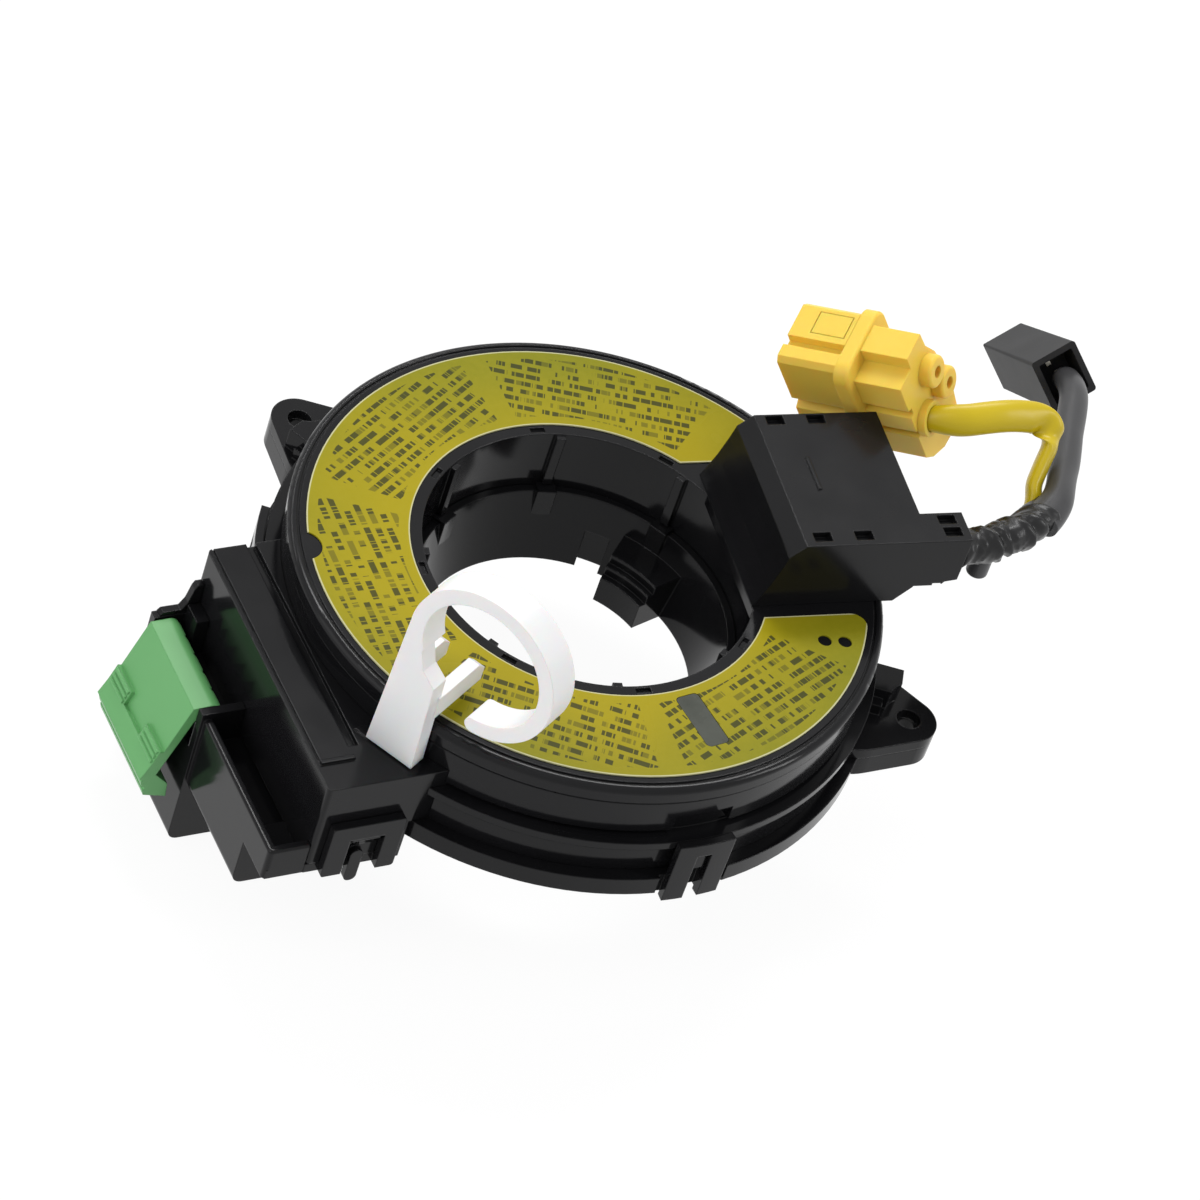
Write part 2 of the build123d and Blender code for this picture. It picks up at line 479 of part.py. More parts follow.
def connector_base():
    plate_low = PLATE_TOP - PLATE_T
    clear_r = COVER_R + RUN_GAP
    body = block_outline(0, clear_r, plate_low, PLATE_TOP)
    body += box(CHEEK_X0 + CUT, BLOCK_X0 + CUT, POCKET_Y0, CHEEK_Y1, plate_low, PLATE_TOP)

    # pocket beside the block: its fourth side is the block's own wall
    wall_x = BLOCK_X0 - WALL_GAP
    outer = box(POCKET_X0, wall_x, POCKET_Y0, CHEEK_Y0 + CHEEK_T, plate_low, POCKET_TOP)
    outer = fillet(outer.edges().filter_by(Axis.Z).sort_by(Axis.X)[:2], POCKET_CORNER)
    outer = fillet(outer.faces().sort_by(Axis.Z)[-1].edges().sort_by(Axis.X)[:1], POCKET_EDGE)
    body += outer

    # socket 1 under the pocket, socket 2 between the cheeks
    shroud = polygon([(POCKET_X0, plate_low), (POCKET_X0, SOCKET1_BOTTOM), (SOCKET_X1, SOCKET1_BOTTOM),
                      (SOCKET_X1, plate_low)])
    shroud = fillet(shroud.vertices().sort_by(Axis.Y)[:2], SHROUD_CORNER)
    body += across_y(shroud, SOCKET1_Y0, CHEEK_Y0 + CHEEK_T)
    cheek = polygon([(CHEEK_X0, CHEEK_TOP), (CHEEK_X0, SOCKET2_BOTTOM), (SOCKET_X1, SOCKET2_BOTTOM),
                     (SOCKET_X1, plate_low), (wall_x, plate_low), (wall_x, CHEEK_TOP)])
    cheek = fillet(cheek.vertices().sort_by(Axis.Y)[:2], SHROUD_CORNER)
    body += across_y(cheek, CHEEK_Y0, CHEEK_Y0 + CHEEK_T)
    body += across_y(cheek, CHEEK_Y1 - CHEEK_T, CHEEK_Y1)
    tower = polygon([(CHEEK_X0, SHROUD_TOP), (CHEEK_X0, SOCKET2_BOTTOM), (SOCKET_X1, SOCKET2_BOTTOM),
                     (SOCKET_X1, plate_low), (CHEEK_X0 + 4, plate_low), (CHEEK_X0 + 2, SHROUD_TOP)])
    tower = fillet(tower.vertices().sort_by(Axis.Y)[:2], SHROUD_CORNER)
    body += across_y(tower, CHEEK_Y0, CHEEK_Y1)

    # hollows, all drawn from the same walls
    inner_x0 = POCKET_X0 + POCKET_WALL
    body -= box(inner_x0, wall_x + CUT, SOCKET1_Y0 + POCKET_WALL, CHEEK_Y0, POCKET_FLOOR, PLATE_TOP)
    body -= box(inner_x0, BLOCK_X0, POCKET_Y0 + POCKET_WALL, CHEEK_Y0, POCKET_SHALLOW + 0.1, POCKET_TOP + CUT)
    body -= box(inner_x0, SOCKET_X1 - POCKET_WALL, SOCKET1_Y0 + POCKET_WALL, CHEEK_Y0 - POCKET_WALL + CHEEK_T,
                SOCKET1_BOTTOM - CUT, SOCKET1_ROOF)
    body -= box(CHEEK_X0 + CHEEK_T, SOCKET_X1 - CHEEK_T, CHEEK_Y0 + CHEEK_T, CHEEK_Y1 - CHEEK_T,
                SOCKET2_BOTTOM - CUT, SOCKET2_ROOF)

    # end block, rib and the pits in the roof beside the lever
    ex0, ey0, etop = END_BLOCK
    body += box(ex0, wall_x, ey0, CHEEK_Y1 - CHEEK_T, PLATE_TOP - CUT, etop)
    rib = polygon([(BLOCK_X0 + x, z) for x, z in BACK_RIB])
    body += across_y(rib, CHEEK_Y1 - BACK_RIB_T, CHEEK_Y1)
    for y in PINS2_Y[:3]:
        body -= box(PIT_X[0], PIT_X[1], y - PIT_W / 2, y + PIT_W / 2, PLATE_TOP - PIT_DEPTH, PLATE_TOP + CUT)

    # holes for the lever's trunnions and slots for the contacts
    hole = Pos(HINGE_X, 0, HINGE_Z) * Rot(90, 0, 0) * Cylinder(TRUNNION_R + FIT_GAP, 80)
    body -= hole & box(CHEEK_X0 - CUT, BLOCK_X0, CHEEK_Y0 + CHEEK_T - TRUNNION_L - FIT_GAP,
                       CHEEK_Y1 - CHEEK_T + TRUNNION_L + FIT_GAP, -10, 10)
    for pin in socket_pins().values():
        body -= pin

    # front catch that snaps over the block's peg
    cx = (CATCH_X0 + CATCH_X1) / 2
    frame = RectangleRounded(CATCH_X1 - CATCH_X0, CATCH_TOP - plate_low, 0.6)
    frame = Pos(cx, (CATCH_TOP + plate_low) / 2) * frame
    wx0, wx1, wtop = CATCH_WINDOW
    frame -= Pos((wx0 + wx1) / 2, (wtop + plate_low - CUT) / 2) * Rectangle(wx1 - wx0, wtop - plate_low + CUT)
    face_y = BLOCK_Y0 - FIT_GAP
    body += across_y(frame, face_y - CATCH_T, face_y)
    for x0, x1 in ((CATCH_X0 + 0.3, wx0), (wx1, CATCH_X1 - 0.3)):
        body += box(x0, x1, face_y - CUT, BLOCK_Y0 + CUT, plate_low, PLATE_TOP)
    return body


def socket_pins():
    pins = {}
    layouts = (("a", PINS1_X, PINS1_Y, PINS1_TIP, SOCKET1_ROOF),
               ("b", PINS2_X, PINS2_Y, PINS2_TIP, SOCKET2_ROOF))
    for letter, xs, ys, tip, roof in layouts:
        number = 0
        for x in xs:
            for y in ys:
                number += 1
                blank = box(x - PIN_W / 2, x + PIN_W / 2, y - 0.32, y + 0.32, tip, roof + PIN_SEAT)
                tip_edges = blank.faces().sort_by(Axis.Z)[0].edges()
                pins[f"socket_{letter}_pin_{number}"] = chamfer(tip_edges, 0.25)
    return pins


def lock_lever():
    y0 = CHEEK_Y0 + CHEEK_T + SIDE_GAP
    y1 = CHEEK_Y1 - CHEEK_T - SIDE_GAP
    corners = [Vector(HINGE_X + x, z) for x, z in LEVER_OUTLINE]
    outline = polygon([(c.X, c.Y) for c in corners]) + Pos(HINGE_X, HINGE_Z) * Circle(BARREL_R)
    body = across_y(outline, y0, y1)

    # the hinge edge is a row of rounded knuckles
    step = (y1 - y0) / KNUCKLES
    valleys = box(HINGE_X, HINGE_X + BARREL_R + CUT, y0 - CUT, y1 + CUT,
                  HINGE_Z - BARREL_R - CUT, HINGE_Z + BARREL_R + CUT)
    for i in range(KNUCKLES):
        valleys -= Pos(HINGE_X, y0 + (i + 0.5) * step, HINGE_Z) * Cylinder(BARREL_R, 2 * BARREL_R + 3 * CUT)
    body -= valleys
    for y, end in ((y0, -1), (y1, 1)):
        pin = Pos(HINGE_X, y + end * (SIDE_GAP + TRUNNION_L) / 2, HINGE_Z) * Rot(90, 0, 0)
        body += pin * Cylinder(TRUNNION_R, SIDE_GAP + TRUNNION_L)

    # a raised strip along the free edge, and a ridged pad above each of its ends
    start, knee, tip, end = corners[1:5]
    slope = (knee - start).normalized()
    fall = (tip - knee).normalized()
    out = Vector(slope.Y, -slope.X) * PAD_H
    edge_out = Vector(fall.Y, -fall.X) * PAD_H
    top = knee - slope * STRIP_BACK
    low = tip - fall * STRIP_BACK
    strip = polygon([(c.X, c.Y) for c in (top, top + out, knee + edge_out, low + edge_out, low, knee - out)])
    body += across_y(strip, y0, y1)
    high = knee - slope * PAD_L
    pad = polygon([(c.X, c.Y) for c in (high - out, high + out, top + out, top - out)])
    for p0 in (y0, y1 - PAD_W):
        body += across_y(pad, p0, p0 + PAD_W)
        for k in range(PAD_GRIPS):
            spot = high + slope * GRIP_PITCH * (k + 0.5) + out
            ridge = Pos(spot.X, p0 + PAD_W / 2, spot.Y) * Rot(90, 0, 0)
            body += ridge * Cylinder(GRIP_R, PAD_W - 2 * GRIP_R)
    seam = (tip + end) / 2
    body -= Pos(seam.X, (y0 + y1) / 2, seam.Y) * Rot(90, 0, 0) * Cylinder(END_GROOVE, y1 - y0 + CUT)
    return body


def rotor():
    body = ring(BORE_R, DISC_R, DISC_UNDER, DISC_TOP)
    body = fillet(body.edges().filter_by(GeomType.CIRCLE).sort_by(SortBy.RADIUS)[-1], DISC_EDGE)
    body += ring(BORE_R, HUB_R, CAM_UNDER, DISC_UNDER)
    body -= ring(RIDGE_R - RIDGE_W, RIDGE_R, DISC_TOP - RIDGE_DEPTH, DISC_TOP + CUT)
    for azimuth in RIB_AZ:
        rib = box(RIB_R, BORE_R + CUT, -RIB_W / 2, RIB_W / 2, CAM_TOP + 1, RIB_TOP)
        body += Rot(0, 0, azimuth) * rib
        length, width, depth = LIP_SLOT
        slot = Pos(LIP_R - width / 2, 0, DISC_TOP - depth / 2) * Box(width, length, depth + 0.01)
        body -= Rot(0, 0, azimuth + 8) * slot
    flat = in_box_frame(box(FLAT_R, BORE_R + CUT, -BORE_R, BORE_R, DISC_TOP - FLAT_T, DISC_TOP))
    body += flat & disc(BORE_R + CUT, 0, BOX_TOP)

    # pocket for the sight window, and the way up for the lead block
    body -= Pos(0, 0, DISC_TOP - WINDOW_DEPTH) * extrude(window_outline(0), WINDOW_DEPTH + CUT)
    n0, n1, half, _ = NECK
    body -= in_box_frame(box(n0 - FIT_GAP, n1 + FIT_GAP, -half - FIT_GAP, half + FIT_GAP,
                             DISC_UNDER - CUT, DISC_TOP + CUT))

    # tongues inside the exit cover, one under each latch hole on the disc
    inner_top = BOX_TOP - BOX_WALL - FIT_GAP
    inset = BOX_WALL + FIT_GAP
    for y0 in (BOX_T0 + inset, BOX_T1 - inset - TONGUE_T):
        for r in LATCH_R:
            body += in_box_frame(box(r - TONGUE_HALF, r + TONGUE_HALF, y0, y0 + TONGUE_T,
                                     DISC_TOP - CUT, inner_top))
    return body


def cover_section(inset, top, foot):
    """Section of the exit cover along the radius: the bore side spreads at its foot down to the flat,
    the outer wall leans in to the disc's edge."""
    bore_side = [(BOX_R0 + (FLAT_R - BOX_R0) * share + inset, DISC_TOP + up) for share, up in BOX_FOOT]
    bore_side[0] = (FLAT_R + inset, foot)
    return polygon(bore_side + [(BOX_R0 + inset, top), (BOX_R1 - inset, top), (BOX_R1 - inset, BOX_FLARE),
                                (DISC_R - inset, foot)])


def exit_cover():
    body = across_y(cover_section(0, BOX_TOP, DISC_TOP), BOX_T0, BOX_T1)
    tab = [(TAB_R1 + x, TAB_BOTTOM + z) for x, z in TAB_PROFILE]
    tab = polygon([(BOX_R1 - CUT, TAB_BOTTOM)] + tab + [(TAB_R1, BOX_TOP), (BOX_R1 - CUT, BOX_TOP)])
    body += across_y(tab, BOX_T0, TAB_T1)
    # hollow with even walls
    w = BOX_WALL
    body -= across_y(cover_section(w, BOX_TOP - w, DISC_TOP - CUT), BOX_T0 + w, BOX_T1 - w)
    body -= box(BOX_R1 - w - CUT, TAB_R1 - w, BOX_T0 + w, TAB_T1 - w, TAB_BOTTOM + TAB_FLOOR, BOX_TOP - w)
    # bevel along the top of the bore side
    bevel = polygon([(BOX_R0 - CUT, BOX_TOP + CUT), (BOX_R0 + BOX_BEVEL, BOX_TOP + CUT),
                     (BOX_R0 + BOX_BEVEL, BOX_TOP), (BOX_R0, BOX_TOP - BOX_BEVEL),
                     (BOX_R0 - CUT, BOX_TOP - BOX_BEVEL)])
    body -= across_y(bevel, BOX_T0 - CUT, BOX_T1 + CUT)
    length, width, depth = LATCH_HOLE
    for r, t in [(r, t) for r in LATCH_R for t in LATCH_T] + TAB_LATCHES:
        body -= box(r - length / 2, r + length / 2, t - width / 2, t + width / 2,
                    BOX_TOP - depth, BOX_TOP + CUT)
    r0, r1, t0, t1, h = BAR_MARK
    body += box(r0, r1, t0, t1, BOX_TOP, BOX_TOP + h)
    harness = Pos(TAB_R1 - w - CUT, HARNESS_T, HARNESS_Z) * Rot(0, 90, 0)
    body -= harness * extrude(Circle(HARNESS_HOLE_R), w + 2 * CUT)
    return in_box_frame(body)


def cancel_cam():
    body = turned([(BORE_R - FIT_GAP, CAM_UNDER), (BORE_R - FIT_GAP, CAM_TOP), (CAM_TOP_R, CAM_TOP),
                   (CAM_BOTTOM_R, CAM_BOTTOM), (CAM_FLANGE_R - 0.5, CAM_BOTTOM),
                   (CAM_FLANGE_R, CAM_BOTTOM + 0.5), (CAM_FLANGE_R, CAM_UNDER)])
    a0, a1, r, top = CAM_BLOCK
    block = sector(r, CAM_TOP_R, a0, a1, CAM_BOTTOM, top)
    for step_r, step_top in CAM_STEPS:
        block -= sector(r - CUT, step_r, a0 - CUT, a1 + CUT, step_top, top + CUT)
    body += block
    r, width, low, high = CAM_FOOT
    for azimuth in RIB_AZ:
        body += Rot(0, 0, azimuth) * box(r, BORE_R - FIT_GAP, -width / 2, width / 2, low, high)
    a0, a1, r, top = CAM_NOTCH
    body -= sector(CAM_BOTTOM_R - 4, r, a0, a1, CAM_BOTTOM - CUT, top)
    return body


def window_outline(inset):
    """Rounded slot for the sight window, in the label and in the disc."""
    plan = RectangleRounded(WINDOW_R1 - WINDOW_R0 - 2 * inset, WINDOW_W - 2 * inset, WINDOW_CORNER - inset)
    return Rot(0, 0, WINDOW_AZ) * Pos((WINDOW_R0 + WINDOW_R1) / 2, 0) * plan


def label():
    sheet = Circle(LABEL_R1) - Circle(LABEL_R0)
    reach = DISC_R + CUT
    gap = Pos(reach / 2, (LABEL_END0 + LABEL_END1) / 2) * Rectangle(reach, LABEL_END1 - LABEL_END0)
    sheet -= Rot(0, 0, BOX_TURN) * gap
    outer_corners = [v for v in sheet.vertices() if math.hypot(v.X, v.Y) > LABEL_R1 - 1]
    sheet = fillet(outer_corners, LABEL_CORNER)
    r, azimuth, notch_r = LABEL_NOTCH
    sheet -= Pos(*polar(r, azimuth)[:2]) * Circle(notch_r)
    sheet -= window_outline(0)
    for r, azimuth in DOTS:
        sheet -= Pos(*polar(r, azimuth)[:2]) * Circle(DOT_D / 2)
    return Pos(0, 0, DISC_TOP) * extrude(sheet, LABEL_T)


def sight_window():
    thickness = WINDOW_DEPTH + LABEL_T - 0.05
    return Pos(0, 0, DISC_TOP - WINDOW_DEPTH) * extrude(window_outline(FIT_GAP), thickness)


def ribbon_cable():
    """Flat cable wound as an even spiral, from the hub's end block out to the wall's."""
    steps = 12 * RIBBON_TURNS
    start = BOX_TURN
    sweep = 360 * RIBBON_TURNS + (180 - start)
    inner = []
    outer = []
    for i in range(steps + 1):
        a = start + sweep * i / steps
        r = RIBBON_R0 + (RIBBON_R1 - RIBBON_T - RIBBON_R0) * i / steps
        inner.append(polar(r, a)[:2])
        outer.append(polar(r + RIBBON_T, a)[:2])
    inside = Spline(*inner)
    outside = Spline(*outer)
    strip = make_face([inside, Line(inner[-1], outer[-1]), outside, Line(outer[0], inner[0])])
    return Pos(0, 0, RIBBON_BOTTOM) * extrude(strip, RIBBON_TOP - RIBBON_BOTTOM)


def lead_block():
    """Moulded block that carries the cable's inner end up into the exit box."""
    low = sector(HUB_R + FIT_GAP, INNER_END_R, -INNER_END_HALF, INNER_END_HALF,
                 INNER_END_BOTTOM, DISC_UNDER - FIT_GAP)
    n0, n1, half, top = NECK
    neck = box(n0, n1, -half, half, DISC_UNDER - CUT, top)
    return in_box_frame(low + neck)


def wall_block():
    """Moulded block that carries the cable's outer end through the stator wall."""
    x0, x1, half, z0, z1 = OUTER_END
    body = box(x0, x1, -half, half, z0, z1)
    return chamfer(body.edges().filter_by(Axis.Z).sort_by(Axis.X)[:2], 0.5)


def lock_key():
    plane = Plane(origin=KEY_N * KEY_INNER, x_dir=KEY_S, z_dir=KEY_N)
    leg = extrude(plane * polygon(KEY_LEG), KEY_T)
    hoop_centre = Pos(*HOOP_C)
    outer = CenterArc((0, 0), HOOP_R_OUT, HOOP_END, HOOP_START - HOOP_END)
    inner = CenterArc((0, 0), HOOP_R_IN, HOOP_END, HOOP_START - HOOP_END)
    strap = make_face([outer, Line(outer @ 1, inner @ 1), inner, Line(inner @ 0, outer @ 0)])
    mid = (HOOP_R_OUT + HOOP_R_IN) / 2
    strap += Pos(*polar(mid, HOOP_END)[:2]) * Circle((HOOP_R_OUT - HOOP_R_IN) / 2)
    hoop_plane = Plane(origin=KEY_N * (KEY_INNER + KEY_T - HOOP_W), x_dir=KEY_S, z_dir=KEY_N)
    body = leg + extrude(hoop_plane * (hoop_centre * strap), HOOP_W)
    z0, z1 = PRONG_Z
    back, down = PRONG_TIP
    prong_plane = Plane(origin=KEY_N * KEY_INNER, x_dir=-KEY_N, z_dir=KEY_S)
    side = polygon([(-CUT, z0), (PRONG_L, z0), (PRONG_L, z1 - down), (PRONG_L - back, z1), (-CUT, z1)])
    for s0, s1 in PRONGS:
        body += extrude(prong_plane.offset(s0) * side, s1 - s0)
    return body


def tube_route(points, diameter):
    """A round cord through hand-set points, with a tangent arc at every corner."""
    points = [HARNESS + Vector(*p) for p in points]
    radii = []
    for i in range(1, len(points) - 1):
        a = points[i] - points[i - 1]
        b = points[i + 1] - points[i]
        half_turn = a.get_angle(b) / 2
        run = min(a.length, b.length)
        radii.append(0.45 * run / math.tan(math.radians(half_turn)))
    path = FilletPolyline(*points, radius=radii)
    start = Plane(origin=path @ 0, z_dir=path % 0)
    solid = sweep(start * Circle(diameter / 2), path=path)
    print("cord", diameter, "length", round(path.length, 1), "radii", [round(r, 1) for r in radii],
          "volume ratio", round(solid.volume / (path.length * math.pi * diameter ** 2 / 4), 3))
    return solid


def tape_wrap():
    """Tape round both leads: round at the box, wide where the leads part."""
    points = [HARNESS + Vector(*p) for p, _, _ in WRAP]
    sections = []
    for i, (_, wide, thin) in enumerate(WRAP):
        if i == 0:
            along = Vector(*polar(1, BOX_TURN))
        else:
            along = points[min(i + 1, len(points) - 1)] - points[i - 1]
        along = along.normalized()
        side = (WRAP_SIDE - along * WRAP_SIDE.dot(along)).normalized()
        sections.append(Plane(origin=points[i], x_dir=side, z_dir=along) * Ellipse(wide, thin))
    return loft(sections)


def stub_lead():
    a, b = [HARNESS + Vector(*p) for p in STUB]
    return extrude(Plane(origin=a, z_dir=b - a) * Circle(STUB_D / 2), (b - a).length)


def plug_frame(origin, x_dir, z_dir):
    return Plane(origin=origin, x_dir=x_dir, z_dir=z_dir).location


def yellow_plug():
    """Two-way plug: rear body with two lobes and the lead's collar, flange, and front body."""
    flange_x, flange_y, flange_t = PLUG_FLANGE
    z1 = -PLUG_REAR_L
    z2 = z1 - flange_t
    z3 = z2 - PLUG_FRONT_L
    middle = Pos(*PLUG_MID)
    flange = Pos(0, 0, z2) * extrude(middle * RectangleRounded(flange_x, flange_y, PLUG_FLANGE_R), flange_t)
    body = fillet(flange.edges().group_by(Axis.Z)[-1], PLUG_EDGE)
    body += Pos(0, 0, z1) * extrude(polygon(PLUG_REAR_SIDE), PLUG_REAR_L)
    body += Pos(0, 0, z3) * extrude(polygon(PLUG_FRONT_SIDE), PLUG_FRONT_L)
    # lobes with their holes, and the collar that holds the lead
    for x, y in PLUG_LOBES:
        lobe = Pos(x, y, 0) * extrude(Circle(PLUG_LOBE_R), PLUG_LOBE_L)
        body += fillet(lobe.edges().sort_by(Axis.Z)[-1], PLUG_EDGE)
    for x, y in PLUG_LOBES:
        body -= Pos(x, y, PLUG_LOBE_L - PLUG_HOLE_L) * extrude(Circle(PLUG_HOLE_R), PLUG_HOLE_L + CUT)
    wall, height = PLUG_COLLAR
    bore_r = YELLOW_D / 2 + FIT_GAP
    entry = Pos(*PLUG_ENTRY)
    body += entry * extrude(Circle(bore_r + wall), height)
    body -= entry * Pos(0, 0, -PLUG_ENTRY_L) * extrude(Circle(bore_r), PLUG_ENTRY_L + PLUG_LOBE_L + CUT)
    slot_x, slot_y, slot_l = PLUG_SLOT
    for dy in PLUG_PIN_Y:
        body -= middle * Pos(0, dy, z3 + slot_l / 2) * Box(slot_x, slot_y, slot_l + 0.01)
    for pin in yellow_plug_contacts_local():
        body -= pin
    body -= lock_slide(PLUG_LOCK_GAP)
    return plug_frame(PLUG_REAR, PLUG_X, PLUG_Z) * body


def yellow_plug_contacts_local():
    front = -PLUG_REAR_L - PLUG_FLANGE[2] - PLUG_FRONT_L
    x, y = PLUG_MID
    half = PLUG_PIN_W / 2
    seat = front + PLUG_SLOT[2] + PIN_SEAT
    return [box(x - half, x + half, y + dy - half, y + dy + half, front + 2.0, seat) for dy in PLUG_PIN_Y]


def lock_slide(gap):
    """The slide that locks the contacts, flush in the upper side; with a gap, the slot that it lies in."""
    width, depth, length = PLUG_LOCK
    x, y = PLUG_FRONT_SIDE[0]
    x0 = x + PLUG_LOCK_IN
    z1 = -PLUG_REAR_L - PLUG_FLANGE[2] - PLUG_LOCK_IN
    return box(x0 - gap, x0 + width + gap, y - gap, y + depth + gap, z1 - length - gap, z1 + gap)


def yellow_plug_lock():
    return plug_frame(PLUG_REAR, PLUG_X, PLUG_Z) * lock_slide(0)


def horn_plug():
    wide, high, length = HORN_BODY
    body = extrude(RectangleRounded(wide, high, HORN_EDGE), length, dir=(0, 0, -1), taper=HORN_TAPER)
    hole = RectangleRounded(wide - 2 * HORN_WALL, high - 2 * HORN_WALL, HORN_EDGE / 2)
    front = RectangleRounded(wide - 3 * HORN_WALL, high - 3 * HORN_WALL, HORN_EDGE / 2)
    body -= Pos(0, 0, -HORN_REAR_DEPTH) * extrude(hole, HORN_REAR_DEPTH + CUT)
    body -= Pos(0, 0, -length - CUT) * extrude(front, HORN_FRONT_DEPTH + CUT)
    for pin in horn_contacts_local():
        body -= pin
    return plug_frame(HORN_REAR, HORN_X, HORN_Z) * body


def horn_contacts_local():
    length = HORN_BODY[2]
    half = HORN_PIN_W / 2
    return [box(-half, half, y - half, y + half, -length + 1.5, -HORN_REAR_DEPTH) for y in HORN_PIN_Y]


def slip_sheet(z0):
    return ring(SHEET_R0, SHEET_R1, z0, z0 + SHEET_T)


pieces = {
    "stator_housing": stator_housing(),
    "connector_block": connector_block(),
    "left_ear": upper_ear(EAR_AZ[0]),
    "right_ear": upper_ear(EAR_AZ[1]),
    "bottom_cover": bottom_cover(),
    "connector_base": connector_base(),
    "lock_lever": lock_lever(),
    "wall_block": wall_block(),
    "ribbon_cable": ribbon_cable(),
    "lower_slip_sheet": slip_sheet(FLOOR_T),
    "rotor": rotor(),
    "upper_slip_sheet": slip_sheet(DISC_UNDER - SHEET_T),
    "cancel_cam": cancel_cam(),
    "lead_block": lead_block(),
    "exit_cover": exit_cover(),
    "label": label(),
    "sight_window": sight_window(),
    "lock_key": lock_key(),
    "tape_wrap": tape_wrap(),
    "stub_lead": stub_lead(),
    "dark_lead": tube_route(DARK_ROUTE, DARK_D),
    "yellow_lead": tube_route(YELLOW_ROUTE, YELLOW_D),
    "yellow_plug": yellow_plug(),
    "yellow_plug_lock": yellow_plug_lock(),
    "horn_plug": horn_plug(),
}
pieces.update(socket_pins())
for number, pin in enumerate(yellow_plug_contacts_local(), 1):
    pieces[f"yellow_plug_pin_{number}"] = plug_frame(PLUG_REAR, PLUG_X, PLUG_Z) * pin
for number, pin in enumerate(horn_contacts_local(), 1):
    pieces[f"horn_plug_pin_{number}"] = plug_frame(HORN_REAR, HORN_X, HORN_Z) * pin

for name, piece in pieces.items():
    export_step(piece, f"parts/{name}.step")
    print(name, len(piece.solids()), "solid,", round(piece.volume), "mm3")
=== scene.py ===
# %% [markdown]
# # Steering clock spring
# The imported model is the fixed frame: every rigid plastic piece is already there in its true
# shape and place. This file gives each surface its finish and makes what bends: the two
# leads, the tape round them and the cut lead end. At the end the imported model's box is
# written down.

# %% Load the frame
import math

import bmesh
import bpy
from mathutils import Matrix, Vector, noise


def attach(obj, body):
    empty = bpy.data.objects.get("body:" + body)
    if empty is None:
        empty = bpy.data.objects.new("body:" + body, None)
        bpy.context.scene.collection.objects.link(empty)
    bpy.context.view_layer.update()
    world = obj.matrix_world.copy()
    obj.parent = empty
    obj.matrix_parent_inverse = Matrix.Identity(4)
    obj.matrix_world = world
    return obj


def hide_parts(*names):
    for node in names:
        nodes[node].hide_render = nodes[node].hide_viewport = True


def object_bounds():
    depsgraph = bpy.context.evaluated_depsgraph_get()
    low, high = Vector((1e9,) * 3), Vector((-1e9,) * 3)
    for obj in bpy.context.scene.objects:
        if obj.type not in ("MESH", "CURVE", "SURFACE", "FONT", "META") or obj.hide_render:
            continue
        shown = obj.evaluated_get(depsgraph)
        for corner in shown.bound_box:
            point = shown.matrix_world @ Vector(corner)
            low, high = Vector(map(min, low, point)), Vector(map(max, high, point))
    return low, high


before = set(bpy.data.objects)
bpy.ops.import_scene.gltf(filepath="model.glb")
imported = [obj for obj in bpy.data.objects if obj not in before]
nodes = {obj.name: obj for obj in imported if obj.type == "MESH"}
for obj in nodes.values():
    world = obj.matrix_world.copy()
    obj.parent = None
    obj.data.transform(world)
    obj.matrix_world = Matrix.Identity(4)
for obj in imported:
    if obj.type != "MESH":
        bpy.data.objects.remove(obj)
cad_box = [list(corner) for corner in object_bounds()]
MM = 0.001

# %% [markdown]
# ## The camera first
# The photograph was taken from above the connector block's front corner, with a long lens
# and the camera turned about its own axis. A camera is placed by three plain facts: where
# it stands, the point it looks at, and its roll. Setting it before anything else means that
# each later step can be judged in the photograph's own frame.

# %% Camera
CAMERA_AT = Vector((-406.2, -511.6, 648.4)) * MM
CAMERA_AIM = Vector((4.7, -0.6, 12.0)) * MM
CAMERA_ROLL = math.radians(20.1)
CAMERA_LENS = 163.6

camera_data = bpy.data.cameras.new("camera")
camera_data.lens = CAMERA_LENS
camera_data.sensor_width = 36.0
camera_data.sensor_fit = "HORIZONTAL"
camera = bpy.data.objects.new("camera", camera_data)
bpy.context.scene.collection.objects.link(camera)
turn = (CAMERA_AIM - CAMERA_AT).to_track_quat("-Z", "Y").to_matrix().to_4x4()
camera.matrix_world = Matrix.Translation(CAMERA_AT) @ turn @ Matrix.Rotation(CAMERA_ROLL, 4, "Z")
bpy.context.scene.camera = camera
print("camera", round((CAMERA_AIM - CAMERA_AT).length, 3), "m from its aim")

# %% [markdown]
# ## A small language for shaders
# A material is a graph of nodes, and sums written as wired nodes are hard to read. One small
# class wraps a socket so that Python's own operators add the Math nodes, and one method of
# the material builder adds any other node from its type, its settings and its inputs.


